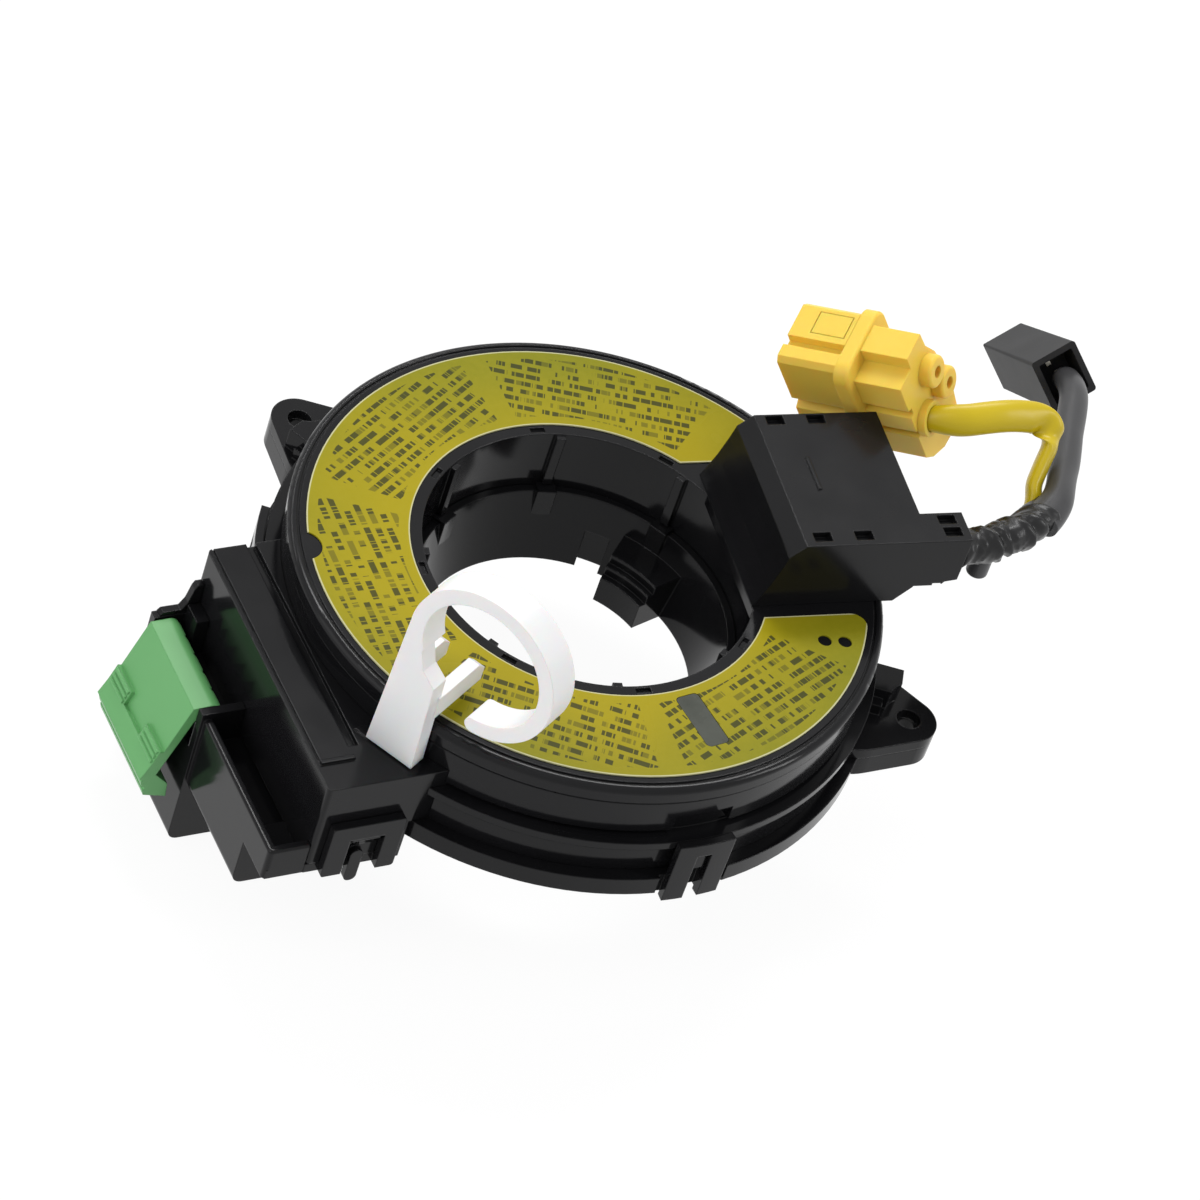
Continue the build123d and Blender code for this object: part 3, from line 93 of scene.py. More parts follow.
# %% Shader maths
class Value:
    """A number on its way through a material, which Python's operators work on."""

    def __init__(self, shader, socket):
        self.shader = shader
        self.socket = socket

    def math(self, operation, *others):
        inputs = {0: self}
        inputs.update({i + 1: other for i, other in enumerate(others)})
        return self.shader.add("ShaderNodeMath", {"operation": operation}, inputs)

    def flipped(self, operation, other):
        return self.shader.add("ShaderNodeMath", {"operation": operation}, {0: other, 1: self})

    def __add__(self, other):
        return self.math("ADD", other)

    def __sub__(self, other):
        return self.math("SUBTRACT", other)

    def __mul__(self, other):
        return self.math("MULTIPLY", other)

    def __truediv__(self, other):
        return self.math("DIVIDE", other)

    def __lt__(self, other):
        return self.math("LESS_THAN", other)

    def __gt__(self, other):
        return self.math("GREATER_THAN", other)

    def __rsub__(self, other):
        return self.flipped("SUBTRACT", other)

    __radd__ = __add__
    __rmul__ = __mul__

    def abs(self):
        return self.math("ABSOLUTE")

    def saturated(self):
        self.socket.node.use_clamp = True
        return self

    def band(self, centre, half, soft):
        """1 within half of centre, falling to 0 over soft."""
        return ((half + soft - (self - centre).abs()) / soft).saturated()


class Shader:
    """A material being built, with one method that adds any node."""

    def __init__(self, name, world=None):
        self.material = world or bpy.data.materials.new(name)
        self.material.use_nodes = True
        self.tree = self.material.node_tree
        self.tree.nodes.clear()

    def add(self, kind, settings=None, inputs=None, output=0):
        node = self.tree.nodes.new(kind)
        for key, value in (settings or {}).items():
            setattr(node, key, value)
        for key, value in (inputs or {}).items():
            if isinstance(value, Value):
                self.tree.links.new(value.socket, node.inputs[key])
            else:
                node.inputs[key].default_value = value
        if node.outputs:
            return Value(self, node.outputs[output])

    def place(self):
        return self.add("ShaderNodeTexCoord", output="Object")

    def split(self, vector):
        first = self.add("ShaderNodeSeparateXYZ", inputs={0: vector})
        return [Value(self, first.socket.node.outputs[i]) for i in range(3)]

    def join(self, x, y, z):
        return self.add("ShaderNodeCombineXYZ", inputs={0: x, 1: y, 2: z})

    def grain(self, where, scale, detail=2.0):
        return self.add("ShaderNodeTexNoise", inputs={"Vector": where, "Scale": scale, "Detail": detail})

    def mix(self, amount, a, b):
        return self.add("ShaderNodeMix", {"data_type": "RGBA"}, {0: amount, 6: a, 7: b}, output=2)

    def relief(self, height, distance, strength=1.0, rounding=None):
        inputs = {"Height": height, "Distance": distance, "Strength": strength}
        if rounding:
            inputs["Normal"] = self.add("ShaderNodeBevel", {"samples": 4}, {"Radius": rounding})
        return self.add("ShaderNodeBump", inputs=inputs)

    def surface(self, **sockets):
        """Close the material with a Principled surface; underscores stand for spaces."""
        inputs = {key.replace("_", " "): value for key, value in sockets.items()}
        shade = self.add("ShaderNodeBsdfPrincipled", inputs=inputs)
        self.add("ShaderNodeOutputMaterial", inputs={"Surface": shade})
        return self.material


def colour(r, g, b):
    return (r, g, b, 1.0)


print("shader maths ready")

# %% [markdown]
# ## Moulded plastics
# All the housings are one glossy black moulding compound. Plain black with a low roughness
# looks like a hole in the picture, so the finish needs what a mould leaves: a very faint
# orange-peel relief, soft smudges in the gloss where it was handled, and edges rounded by a
# fraction of a millimetre, which catch the light. The Bevel node rounds only the shading.

# %% Plastic
EDGE = 0.3 * MM                      # rounding that the Bevel node shades
CLOUD_SCALE = 38.0                   # noise scales, in waves per metre
SMUDGE_SCALE = 130.0
PEEL_SCALE = 420.0
FINE_PEEL_SCALE = 1500.0
PEEL_STRENGTH = 0.35
NOISE_MIDDLE = 0.45                  # the noise's usual value, taken off so that smudges go both ways


def plastic(name, dark, light, rough, peel=0.004, smudge=0.10, edge=EDGE, **extra):
    """Moulded plastic: two close colours, a base roughness and the depth of its orange peel."""
    s = Shader(name)
    where = s.place()
    cloud = s.grain(where, CLOUD_SCALE, 3.0)
    fine = s.grain(where, FINE_PEEL_SCALE, 2.0)
    wipe = s.grain(where, SMUDGE_SCALE, 4.0)
    tint = s.mix(cloud, dark, light)
    gloss = (rough + (wipe - NOISE_MIDDLE) * smudge).saturated()
    coarse = s.grain(where, PEEL_SCALE, 2.0)
    bump = s.relief(fine * 0.5 + coarse * 0.5, peel * MM, PEEL_STRENGTH, edge)
    return s.surface(Base_Color=tint, Roughness=gloss, Normal=bump, **extra)


SHEEN = 0.17                         # specular level of the blacks, low in this white room
MATT_SHEEN = 0.05                    # the horn plug's, which is seen at a grazing angle

black_gloss = plastic(
    "black_gloss", colour(0.004, 0.004, 0.0045), colour(0.009, 0.009, 0.010), 0.12,
    Specular_IOR_Level=SHEEN)
black_satin = plastic(
    "black_satin", colour(0.005, 0.005, 0.0055), colour(0.010, 0.010, 0.011), 0.19, 0.010,
    Specular_IOR_Level=SHEEN)
black_matt = plastic(
    "black_matt", colour(0.018, 0.018, 0.019), colour(0.030, 0.030, 0.031), 0.36, 0.02,
    Specular_IOR_Level=MATT_SHEEN)
green_plastic = plastic(
    "green_plastic", colour(0.105, 0.335, 0.108), colour(0.130, 0.375, 0.135), 0.36, 0.008,
    Specular_IOR_Level=0.3)
yellow_plastic = plastic(
    "yellow_plastic", colour(0.73, 0.50, 0.055), colour(0.79, 0.56, 0.085), 0.38, 0.010,
    Specular_IOR_Level=0.25, Subsurface_Weight=0.45, Subsurface_Scale=3.0 * MM)
white_plastic = plastic(
    "white_plastic", colour(0.71, 0.72, 0.725), colour(0.77, 0.775, 0.78), 0.33, 0.006,
    Subsurface_Weight=0.35, Subsurface_Scale=2.0 * MM)
grey_plastic = plastic(
    "grey_plastic", colour(0.22, 0.22, 0.23), colour(0.30, 0.30, 0.31), 0.45, 0.01)
print("plastics:", [m.name for m in bpy.data.materials if "gloss" in m.name or "plastic" in m.name])

# %% [markdown]
# ## The label
# A printed film with rounded corners, cut back round the exit cover. On the real part it is
# full of small print. Here the print is replaced by plain broken bars in five blocks, which
# keeps the busy look and says nothing. Every block has straight rows, as print has, so each
# block gets its own flat coordinates, turned to its place on the ring.

# %% Label
LABEL_IN = 30.63 * MM
LABEL_OUT = 48.0 * MM
LABEL_TURN = -8.1                    # degrees, the exit cover's turn
LABEL_ENDS = (-15.0 * MM, 20.7 * MM)
BLOCK_START = 35.0                   # degrees, where the first block of bars begins
BLOCK_PITCH = 57.0
BLOCKS = 5
ROW = 1.95 * MM
ROW_HALF = 0.25                      # half height of a bar, as a share of its row
DASH = 1.7 * MM
DASH_HALF = 0.38                     # half length of a bar, as a share of its dash
STRETCH = 4.0                        # how far noise moves the dashes along, in dashes
ROW_SHIFT = 0.37                     # each row's dashes start this much later
MARGIN = 1.9 * MM                    # bare film along the two round edges
BLOCK_MARGIN = 0.055                 # radians of bare film at either side of a block
HEADING_DEPTH = 3.4 * MM             # the outermost rows are a short heading
HEADING_HALF = 11.0 * MM
INK = 0.84                           # how well the bars cover the film
# softness of the painted highlight rim along the film's edges
HIGHLIGHT_RIM_SOFT = 0.08 * MM
WORD_NOISE = (620.0, 7.3, 5.1)       # noise scales along a row, per row and per block
STRETCH_NOISE = (420.0, 5.3, 1.7)
FADE_NOISE = (300.0, 1.9, 2.7)


def label_film():
    s = Shader("label_film")
    where = s.place()
    x, y, _ = s.split(where)
    radius = (x * x + y * y).math("SQRT")
    angle = y.math("ARCTAN2", x) * (180.0 / math.pi)
    around = ((angle - BLOCK_START) / 360.0).math("FRACT") * 360.0
    block = (around / BLOCK_PITCH).math("FLOOR")
    local = ((around / BLOCK_PITCH).math("FRACT") - 0.5) * math.radians(BLOCK_PITCH)
    along = radius * local.math("SINE")
    out = radius * local.math("COSINE")

    # bars: rows across the block, broken by noise into dashes of uneven length
    row = (out / ROW).math("FLOOR")

    def print_noise(scales):
        """Noise that runs along a row and jumps from row to row and from block to block."""
        a, b, c = scales
        return s.grain(s.join(along * a, row * b, block * c), 1.0, 1.0)

    in_row = (out / ROW).math("FRACT").band(0.5, ROW_HALF, 0.05)
    words = print_noise(WORD_NOISE)
    stretch = print_noise(STRETCH_NOISE)
    place = along / DASH + stretch * STRETCH + row * ROW_SHIFT
    dashes = place.math("FRACT").band(0.5, DASH_HALF, 0.05)
    faded = 0.55 + 0.45 * (print_noise(FADE_NOISE) > 0.45)
    written = (words > 0.44) * dashes * faded
    inside = radius.band((LABEL_IN + LABEL_OUT) / 2, (LABEL_OUT - LABEL_IN) / 2 - MARGIN, 0.1 * MM)
    framed = local.abs().band(0.0, math.radians(BLOCK_PITCH) / 2 - BLOCK_MARGIN, 0.004)
    present = (around / BLOCK_PITCH) < float(BLOCKS)
    beside_heading = (out > LABEL_OUT - HEADING_DEPTH) * (along.abs() > HEADING_HALF)
    ink = in_row * written * inside * framed * present * (1.0 - beside_heading)

    # the film itself: olive yellow that goes greener towards one edge and in patches
    patch = s.grain(where, 26.0, 2.0)
    green = ((radius - LABEL_IN) / (LABEL_OUT - LABEL_IN) * 0.45 + patch * 1.5 - 0.75).saturated()
    film = s.mix(green, colour(0.315, 0.255, 0.006), colour(0.125, 0.150, 0.009))
    film = s.mix(s.grain(where, 900.0, 1.0) * 0.2, film, colour(0.36, 0.305, 0.025))
    film = s.mix(ink * INK, film, colour(0.020, 0.026, 0.012))

    # a painted highlight: a pale rim along the film's round edges and its two cut ends
    turn = math.radians(LABEL_TURN)
    t = y * math.cos(turn) - x * math.sin(turn)
    r = x * math.cos(turn) + y * math.sin(turn)
    edge = radius.band(LABEL_IN, 0.16 * MM, HIGHLIGHT_RIM_SOFT) + radius.band(LABEL_OUT, 0.20 * MM, HIGHLIGHT_RIM_SOFT)
    for end in LABEL_ENDS:
        edge = edge + t.band(end, 0.18 * MM, HIGHLIGHT_RIM_SOFT) * (r > 0.0)
    # the pale colour mixed in here is a painted highlight on the film's edges
    film = s.mix(edge.saturated() * 0.75, film, colour(0.55, 0.54, 0.34))
    relief = s.relief(s.grain(where, 160.0, 2.0) + ink * 0.2, 0.02 * MM, 0.5)
    rough = 0.22 + patch * 0.12
    return s.surface(Base_Color=film, Roughness=rough, Normal=relief, Specular_IOR_Level=0.06)


label_material = label_film()
print("label:", BLOCKS, "blocks of bars,", round((LABEL_OUT - LABEL_IN) / ROW), "rows each")

# %% [markdown]
# ## Small finishes
# The sight window is smoky plastic, so dark that it needs no see-through shading. The contacts
# are tinned, the flat cable is copper strips between two films, and the slip sheets are milky.


# %% Window, metal and film
def window_plastic():
    s = Shader("window_plastic")
    where = s.place()
    haze = s.grain(where, 240.0, 3.0)
    tint = s.mix(haze, colour(0.038, 0.042, 0.034), colour(0.075, 0.080, 0.066))
    return s.surface(Base_Color=tint, Roughness=0.2 + haze * 0.15, Specular_IOR_Level=0.1)


def tinned_metal():
    s = Shader("tinned_metal")
    where = s.place()
    drawn = s.add("ShaderNodeMapping", inputs={"Vector": where, "Scale": (900.0, 900.0, 60.0)})
    streak = s.grain(drawn, 1.0, 3.0)
    tint = s.mix(streak, colour(0.62, 0.56, 0.44), colour(0.78, 0.76, 0.70))
    bump = s.relief(streak, 0.004 * MM, 0.4, 0.1 * MM)
    return s.surface(Base_Color=tint, Roughness=0.25 + streak * 0.2, Metallic=1.0, Normal=bump)


STRIP_PITCH = 2.2 * MM               # from one copper strip to the next


def flat_cable():
    s = Shader("flat_cable")
    where = s.place()
    _, _, z = s.split(where)
    strip = (z / STRIP_PITCH).math("FRACT").band(0.5, 0.30, 0.05)
    tint = s.mix(strip, colour(0.55, 0.50, 0.36), colour(0.72, 0.36, 0.16))
    wear = s.grain(where, 300.0, 2.0)
    return s.surface(Base_Color=tint, Roughness=0.25 + wear * 0.2, Metallic=strip * 0.7)


def slip_film():
    s = Shader("slip_film")
    where = s.place()
    cloud = s.grain(where, 60.0, 3.0)
    tint = s.mix(cloud, colour(0.62, 0.62, 0.58), colour(0.74, 0.74, 0.71))
    return s.surface(Base_Color=tint, Roughness=0.3 + cloud * 0.2)


window_material = window_plastic()
metal_material = tinned_metal()
print("small finishes ready")

# %% [markdown]
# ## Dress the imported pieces
# A CAD piece keeps its mesh; only the material in its slot changes. Pins share one finish,
# so they are found by name.

# %% Assign the finishes
FINISH = {
    "stator_housing": black_gloss, "connector_block": black_gloss, "left_ear": black_gloss,
    "right_ear": black_gloss, "bottom_cover": black_gloss, "connector_base": black_gloss,
    "rotor": black_gloss, "cancel_cam": black_gloss, "exit_cover": black_satin,
    "lock_lever": green_plastic, "lock_key": white_plastic, "label": label_material,
    "sight_window": window_material,
    "yellow_plug": yellow_plastic, "yellow_plug_lock": yellow_plastic, "horn_plug": black_matt,
    "lead_block": grey_plastic, "wall_block": grey_plastic, "ribbon_cable": flat_cable(),
    "lower_slip_sheet": slip_film(), "upper_slip_sheet": slip_film(),
}
for name, node in nodes.items():
    finish = metal_material if "_pin_" in name else FINISH.get(name)
    if finish is None:
        continue
    node.data.materials.clear()
    node.data.materials.append(finish)
print("dressed", len(FINISH), "pieces and", sum("_pin_" in n for n in nodes), "contacts")

# %% [markdown]
# ## Vinyl sleeves and tape
# The leads run in thin vinyl sleeves: satin, slightly uneven, with faint creases. The tape is
# darker and more crinkled.


# %% Vinyl
def vinyl(name, dark, light, rough, crease=0.05):
    s = Shader(name)
    where = s.place()
    cloud = s.grain(where, 90.0, 3.0)
    fine = s.grain(where, 1100.0, 3.0)
    tint = s.mix(cloud, dark, light)
    bump = s.relief(s.grain(where, 260.0, 2.0) + fine * 0.3, crease * MM, 0.5)
    gloss = rough + cloud * 0.14
    return s.surface(Base_Color=tint, Roughness=gloss, Normal=bump, Specular_IOR_Level=0.3)


dark_vinyl = vinyl("dark_vinyl", colour(0.026, 0.026, 0.028), colour(0.048, 0.048, 0.050), 0.30)
yellow_vinyl = vinyl("yellow_vinyl", colour(0.48, 0.355, 0.005), colour(0.55, 0.415, 0.012), 0.24)
tape_vinyl = vinyl("tape_vinyl", colour(0.005, 0.005, 0.005), colour(0.010, 0.010, 0.011), 0.24, 0.12)
print("vinyl ready")

# %% [markdown]
# ## The leads
# A lead is a fixed length of something flexible. Its route is a short list of given points,
# and a NURBS spline of order 3 makes one smooth curve of them. A sleeve is not quite
# round, so the tube is built along the spline: a ring of vertices at every step, bridged to
# the next. The ring can be wide and thin, which gives the flat fold of the yellow sleeve, and
# it can lean off its route, which lets the two sleeves lie against each other.

# %% Sleeves along a spline
RING = 32
STEP_LEAST = 0.2 * MM                        # points of a route that lie closer are dropped
HARNESS = Vector((59.611, -17.625, 31.0))    # in mm, where the leads leave the cover's tab


def spline_points(name, route, resolution=12):
    """The points of a NURBS curve on a given route, which is set out from HARNESS."""
    curve = bpy.data.curves.new(name, "CURVE")
    curve.dimensions = "3D"
    curve.resolution_u = resolution
    spline = curve.splines.new("NURBS")
    spline.points.add(len(route) - 1)
    for point, place in zip(spline.points, route):
        point.co = (*((HARNESS + Vector(place)) * MM), 1.0)
    spline.order_u = 3
    spline.use_endpoint_u = True
    holder = bpy.data.objects.new(name, curve)
    bpy.context.scene.collection.objects.link(holder)
    mesh = bpy.data.meshes.new_from_object(holder)
    bpy.data.objects.remove(holder)
    points = []
    for vert in mesh.vertices:
        if not points or (vert.co - points[-1]).length > STEP_LEAST:
            points.append(vert.co.copy())
    return points


def length_of(points):
    return sum((b - a).length for a, b in zip(points, points[1:]))


def sleeve(name, points, section, side, material, ripple=None, lean=None):
    """A closed tube along points. section(share) gives half width and half thickness in metres,
    side is the wide way or gives it from the share and the run's direction, ripple(share, angle)
    moves the surface in or out, and lean(share) moves a ring sideways off the route."""
    bm = bmesh.new()
    bmesh.ops.create_circle(bm, cap_ends=True, segments=RING, radius=1.0)
    cap = bm.faces[:][0]
    place = {vert: k for k, vert in enumerate(cap.verts)}
    total = length_of(points)
    done = 0.0
    for i, here in enumerate(points):
        before, after = points[max(i - 1, 0)], points[min(i + 1, len(points) - 1)]
        forward = (after - before).normalized()
        done += (here - before).length
        share = done / total
        wide_way = side(share, forward) if callable(side) else side
        across = (wide_way - forward * wide_way.dot(forward)).normalized()
        up = forward.cross(across)
        if i:
            made = bmesh.ops.extrude_face_region(bm, geom=[cap])["geom"]
            if i > 1:                        # the first cap stays and closes the end
                bmesh.ops.delete(bm, geom=[cap], context="FACES_ONLY")
            cap = next(part for part in made if isinstance(part, bmesh.types.BMFace))
            place = {vert: next(place[edge.other_vert(vert)] for edge in vert.link_edges
                                if edge.other_vert(vert) in place) for vert in cap.verts}
        wide, thin = section(share)
        centre = here + lean(share) if lean else here
        for vert, k in place.items():
            a = 2 * math.pi * k / RING
            push = ripple(share, a) if ripple else 0.0
            vert.co = centre + across * math.cos(a) * (wide + push) + up * math.sin(a) * (thin + push)
    bmesh.ops.recalc_face_normals(bm, faces=bm.faces)
    mesh = bpy.data.meshes.new(name)
    bm.to_mesh(mesh)
    bm.free()
    mesh.shade_smooth()
    mesh.materials.append(material)
    made = bpy.data.objects.new(name, mesh)
    bpy.context.scene.collection.objects.link(made)
    return made


print("sleeves are", RING, "sided")

# %% [markdown]
# ## Dark sleeve to the horn plug
# It leaves the tape, rises over a low arch and drops into the back of the small black plug.
# The middle of the arch leans against the yellow sleeve.

# %% Dark sleeve
DARK_D = 4.8
DARK_ROUTE = [(18.3, 3.2, 0.0), (20.8, 4.8, 0.0), (24.2, 7.5, 0.0), (29.8, 13.4, -1.0),
              (35.1, 20.7, -2.0), (40.0, 28.8, -3.0), (44.0, 36.0, -4.4), (45.8, 40.2, -7.2)]
DARK_FLAT = (1.10, 0.94)             # width and thickness, as shares of a round sleeve's
DARK_FLARE = (0.26, 0.10)            # what is added to them where the tape lets go
DARK_FLARE_RUN = 0.16                # share of the length that the flare dies out over
DARK_WAVE = (0.015, 21)              # height and pace of the unevenness along the sleeve
DARK_LEAN = -1.0 * MM
FLAT_WAY = Vector((-0.42, 0.42, 0.05))
SIDEWAYS = Vector((0.852, -0.437, 0.287))    # from the yellow sleeve towards the dark one
dark_points = spline_points("dark_route", DARK_ROUTE)


def eased(value, start, end):
    """0 before start, 1 after end, and smooth between them."""
    way = min(max((value - start) / (end - start), 0.0), 1.0)
    return way * way * (3.0 - 2.0 * way)


def dark_lean(share):
    """The middle of the arch lies against the yellow sleeve."""
    return SIDEWAYS * (DARK_LEAN * eased(share, 0.12, 0.35) * (1.0 - eased(share, 0.55, 0.85)))


def dark_section(share):
    """A little flattened all along, and wide where the tape lets go of it."""
    half = DARK_D / 2 * MM
    flare = math.exp(-(share / DARK_FLARE_RUN) ** 2)
    wave = DARK_WAVE[0] * math.sin(share * DARK_WAVE[1])
    return (half * (DARK_FLAT[0] + DARK_FLARE[0] * flare + wave),
            half * (DARK_FLAT[1] + DARK_FLARE[1] * flare))


dark_lead = sleeve("dark_sleeve", dark_points, dark_section, FLAT_WAY, dark_vinyl, lean=dark_lean)
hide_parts("dark_lead")
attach(dark_lead, "rotor")
print("dark sleeve", round(length_of(dark_points) / MM, 1), "mm")

# %% [markdown]
# ## Yellow sleeve to the yellow plug
# This one is softer. It comes out beside the dark sleeve, rises on edge against it, folds over
# sharply and comes back into the rear of the yellow plug. At the fold it is pressed flat.

# %% Yellow sleeve
YELLOW_D = 4.4
YELLOW_ROUTE = [(20.7, 7.7, -4.4), (20.4, 12.0, -2.4), (23.2, 15.2, 0.4), (26.0, 17.9, 3.6),
                (25.1, 20.2, 6.8), (20.4, 20.7, 7.9), (15.6, 21.0, 8.2), (8.0, 22.15, 7.0),
                (4.3, 27.35, 4.1)]
FOLD_AT = 0.42                       # share of the length
FOLD_RUN = 0.03
FOLD_INTO = Vector((0.507, 0.557, -0.657))   # square to the plane that the sleeve is folded in
YELLOW_FLAT = (0.26, -0.30)          # what pressing adds to the width and the thickness
YELLOW_CREASE = (0.10, -0.22)        # and what the fold adds to them
YELLOW_LEAN = 1.1 * MM
yellow_points = spline_points("yellow_route", YELLOW_ROUTE)


def yellow_section(share):
    """Pressed flat by the fold, and round again where it enters the plug."""
    flat = eased(share, 0.0, 0.12) * (1.0 - eased(share, 0.80, 0.97))
    crease = math.exp(-((share - FOLD_AT) / FOLD_RUN) ** 2)
    half = YELLOW_D / 2 * MM
    return (half * (1.0 + YELLOW_FLAT[0] * flat + YELLOW_CREASE[0] * crease),
            half * (0.96 + YELLOW_FLAT[1] * flat + YELLOW_CREASE[1] * crease))


def yellow_way(share, forward):
    """On edge while it rises, and lying in the plane of the fold from there on."""
    return FOLD_INTO.lerp(FOLD_INTO.cross(forward), eased(share, FOLD_AT - 0.10, FOLD_AT - 0.01))


def yellow_lean(share):
    """The rising run leans against the dark sleeve."""
    return SIDEWAYS * (YELLOW_LEAN * eased(share, 0.0, 0.10) * (1.0 - eased(share, 0.30, 0.50)))


yellow_lead = sleeve("yellow_sleeve", yellow_points, yellow_section, yellow_way, yellow_vinyl,
                     lean=yellow_lean)
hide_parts("yellow_lead")
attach(yellow_lead, "rotor")
print("yellow sleeve", round(length_of(yellow_points) / MM, 1), "mm")

# %% [markdown]
# ## The tape
# Black tape is wound round both leads where they leave the cover. It is not a plain tube: a
# saw-tooth that runs round in a spiral gives the step where a turn overlaps the last, a few
# slanting folds sink in with a bank beside them, and noise adds small ridges and swells.

# %% Tape
WRAP = [((0.0, 0.0, 0.0), 3.1, 3.1), ((7.1, 0.6, 0.0), 3.6, 3.5), ((13.4, 2.0, -0.5), 4.2, 3.3),
        ((18.2, 4.5, -1.4), 5.0, 3.1), ((22.0, 7.6, -2.5), 5.2, 2.9)]
WRAP_SIDE = Vector((0.08, 0.65, -0.75))
WRAP_INSET = 0.35                    # mm, left for the tape's own relief
TAPE_TURN = 8.5 * MM
TAPE_STEP = 0.22                     # mm, from one turn down to the next
STEP_RISE = 14.0                     # how steep the step is, and how much of it wears off
STEP_WEAR = 0.8
FOLDS = [(5.5, -6.0, 0.5, 0.7), (10.6, 6.5, 1.5, 0.7),
         (12.6, 7.5, 0.5, 0.4)]      # start along the wrap, pitch, depth, half width, in mm
FOLD_SINK = 0.55                     # shares of the depth: the fold, and the bank beside it
FOLD_BANK = 0.35
BANK_OFF = 1.9                       # in half widths
BANK_HALF = 1.1
SPOT_RUN = 2.6                       # pace of the noise along the wrap, its twist and its girth
SPOT_TWIST = 3.0
SPOT_GIRTH = 1.2
RIDGE_HEIGHT = 0.20                  # mm
RIDGE_PACE = 1.7
RIDGE_NARROW = 3.4
SWELL_HEIGHT = 0.6                   # mm
SWELL_PACE = 0.8
SWELL_FROM = Vector((3.1, 0.0, 0.0))
wrap_points = spline_points("wrap_route", [centre for centre, _, _ in WRAP], 40)
wrap_length = length_of(wrap_points)


def wrap_section(share):
    """Width and thickness between the wrap's given stations."""
    place = share * (len(WRAP) - 1)
    i = min(int(place), len(WRAP) - 2)
    f = place - i
    wide = WRAP[i][1] * (1 - f) + WRAP[i + 1][1] * f
    thin = WRAP[i][2] * (1 - f) + WRAP[i + 1][2] * f
    return (wide - WRAP_INSET) * MM, (thin - WRAP_INSET) * MM


def wrap_ripple(share, angle):
    """Folds, the step of each turn, ridges and swells, as a move outwards in metres."""
    run = share * wrap_length / MM
    turn = angle / (2 * math.pi)
    push = 0.0
    for start, pitch, depth, half in FOLDS:
        for lap in (-1, 0, 1):
            off = (run - start - pitch * (turn + lap)) / half
            push -= depth * FOLD_SINK * math.exp(-off * off)
            push += depth * FOLD_BANK * math.exp(-((off + BANK_OFF) / BANK_HALF) ** 2)
    turns = share * wrap_length / TAPE_TURN + turn
    saw = turns - math.floor(turns)
    push += TAPE_STEP * min(saw * STEP_RISE, 1.0) * (1.0 - STEP_WEAR * saw)
    twisted = angle + share * SPOT_TWIST
    spot = Vector((share * SPOT_RUN, math.cos(twisted) * SPOT_GIRTH, math.sin(twisted) * SPOT_GIRTH))
    ridged = max(1.0 - abs(noise.noise(spot * RIDGE_PACE)) * RIDGE_NARROW, 0.0)
    swell = noise.noise(spot * SWELL_PACE + SWELL_FROM)
    return (push + RIDGE_HEIGHT * ridged ** 3 + SWELL_HEIGHT * swell) * MM


tape = sleeve("tape", wrap_points, wrap_section, WRAP_SIDE, tape_vinyl, wrap_ripple)
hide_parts("tape_wrap")
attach(tape, "rotor")
print("tape", round(wrap_length / MM, 1), "mm of wrap in", round(wrap_length / TAPE_TURN, 1), "turns")

# %% [markdown]
# ## The cut lead end
# Under the cover's tab a third lead has been cut off short. Its sleeve ends square and closed.

# %% Cut end
STUB_ROUTE = [(7.0, 1.2, -2.4), (7.15, 1.3, -5.0), (7.3, 1.4, -7.8)]
STUB_D = 3.8
STUB_SIDE = Vector((1, 0, 0))
stub_points = spline_points("stub_route", STUB_ROUTE)


def stub_section(share):
    """Round all along."""
    return STUB_D / 2 * MM, STUB_D / 2 * MM


stub = sleeve("cut_end", stub_points, stub_section, STUB_SIDE, dark_vinyl)
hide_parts("stub_lead")
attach(stub, "rotor")
print("cut end", round(length_of(stub_points) / MM, 1), "mm")

# %% [markdown]
# A cord keeps its length.

# %% Cords
print("leads: dark and yellow sleeves")

# %% [markdown]
# ## Floor, light and background
# The photograph is a cut-out on white, so the object lies on a plain floor that the camera
# sees as white, and broad lamps give the long soft highlights of glossy plastic.

# %% Floor and world
FLOOR_Z = cad_box[0][2] - 0.2 * MM
FLOOR_HALF = 3.0                     # metres
FLOOR_GLOW = 1.03
FLOOR_GLOW_SHARE = 0.9               # the rest is pale paint, which takes the soft shadow
SKY_LIGHT = 0.58                     # what lights the object, and what is seen behind it
SKY_SEEN = 1.0

grid = bmesh.new()
bmesh.ops.create_grid(grid, x_segments=1, y_segments=1, size=FLOOR_HALF,
                      matrix=Matrix.Translation((0, 0, FLOOR_Z)))
floor_mesh = bpy.data.meshes.new("floor")
grid.to_mesh(floor_mesh)
grid.free()
floor = bpy.data.objects.new("floor", floor_mesh)
bpy.context.scene.collection.objects.link(floor)
ground = Shader("floor_white")
ground_rays = ground.add("ShaderNodeLightPath")


def seen_by(shader, light_path):
    """1 for rays that show the background: from the camera, in gloss and through clear plastic."""
    seen = light_path
    for ray in ("Is Glossy Ray", "Is Transmission Ray"):
        seen = seen.math("MAXIMUM", Value(shader, light_path.socket.node.outputs[ray]))
    return seen


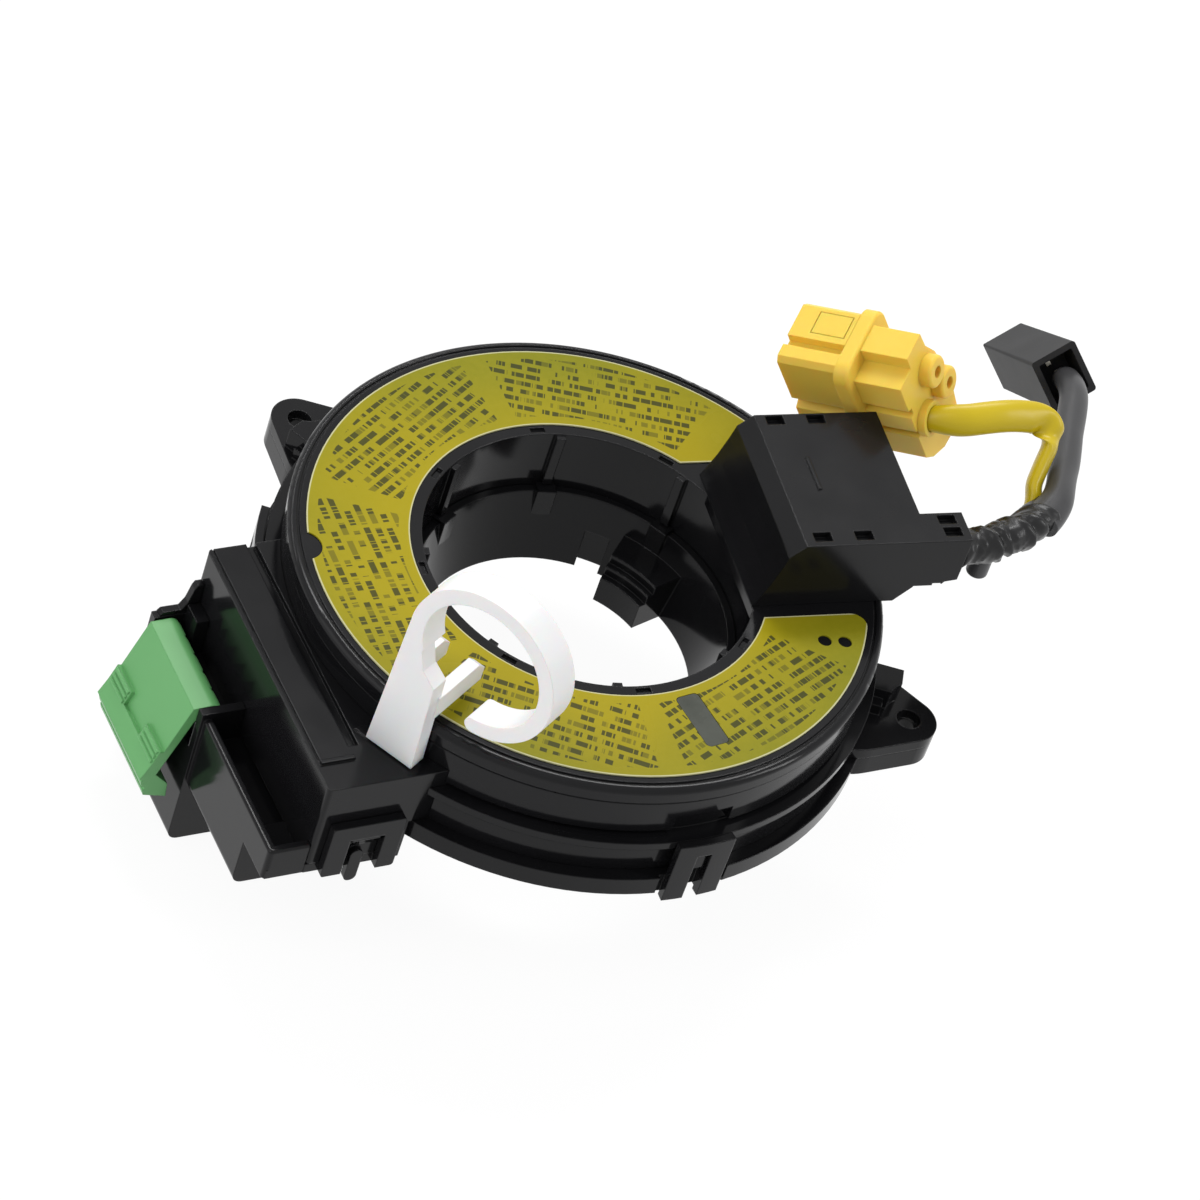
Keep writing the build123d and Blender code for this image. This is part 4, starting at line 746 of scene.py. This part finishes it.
pale = ground.add("ShaderNodeBsdfDiffuse", inputs={"Color": colour(0.9, 0.9, 0.9)})
glow = ground.add("ShaderNodeEmission", inputs={"Color": colour(1, 1, 1), "Strength": FLOOR_GLOW})
glow_share = seen_by(ground, ground_rays) * FLOOR_GLOW_SHARE
both = ground.add("ShaderNodeMixShader", inputs={0: glow_share, 1: pale, 2: glow})
ground.add("ShaderNodeOutputMaterial", inputs={"Surface": both})
floor_mesh.materials.append(ground.material)

world = bpy.data.worlds.new("studio")
sky = Shader("studio", world)
rays = sky.add("ShaderNodeLightPath")
dim = sky.add("ShaderNodeBackground", inputs={"Color": colour(1, 1, 1), "Strength": SKY_LIGHT})
white = sky.add("ShaderNodeBackground", inputs={"Color": colour(1, 1, 1), "Strength": SKY_SEEN})
pick = sky.add("ShaderNodeMixShader", inputs={0: seen_by(sky, rays), 1: dim, 2: white})
sky.add("ShaderNodeOutputWorld", inputs={"Surface": pick})
bpy.context.scene.world = world


LAMP_AIM = Vector((0, 0, 0))
LAMPS = [                            # name, place, width, height in metres, watts
    ("key", (0.25, 0.45, 0.85), 0.7, 0.16, 5.6),
    ("fill", (-0.9, 0.1, 0.5), 0.9, 0.9, 2.5),
    ("rim", (0.7, -0.5, 0.5), 0.12, 0.6, 2.4),
    ("strip_back", (0.05, 0.75, 0.55), 1.1, 0.02, 1.4),
    ("strip_left", (-0.75, -0.15, 0.6), 0.02, 1.0, 1.2),
]


def soft_box(name, at, width, height, watts):
    """A rectangular lamp at a place, aimed at the middle of the object."""
    lamp = bpy.data.lights.new(name, "AREA")
    lamp.shape = "RECTANGLE"
    lamp.size = width
    lamp.size_y = height
    lamp.energy = watts
    holder = bpy.data.objects.new(name, lamp)
    bpy.context.scene.collection.objects.link(holder)
    at = Vector(at)
    turn = (LAMP_AIM - at).to_track_quat("-Z", "Y").to_matrix().to_4x4()
    holder.matrix_world = Matrix.Translation(at) @ turn


for lamp_row in LAMPS:
    soft_box(*lamp_row)

view = bpy.context.scene.view_settings
view.view_transform = "Standard"
print("floor at", round(FLOOR_Z / MM, 1), "mm")

# %% [markdown]
# ## The bounds
# The imported model's box is written down. The dressed object has to stay inside the
# imported model's box.

# %% Bounds and finish
print("cad box", [[round(v / MM, 1) for v in c] for c in cad_box])
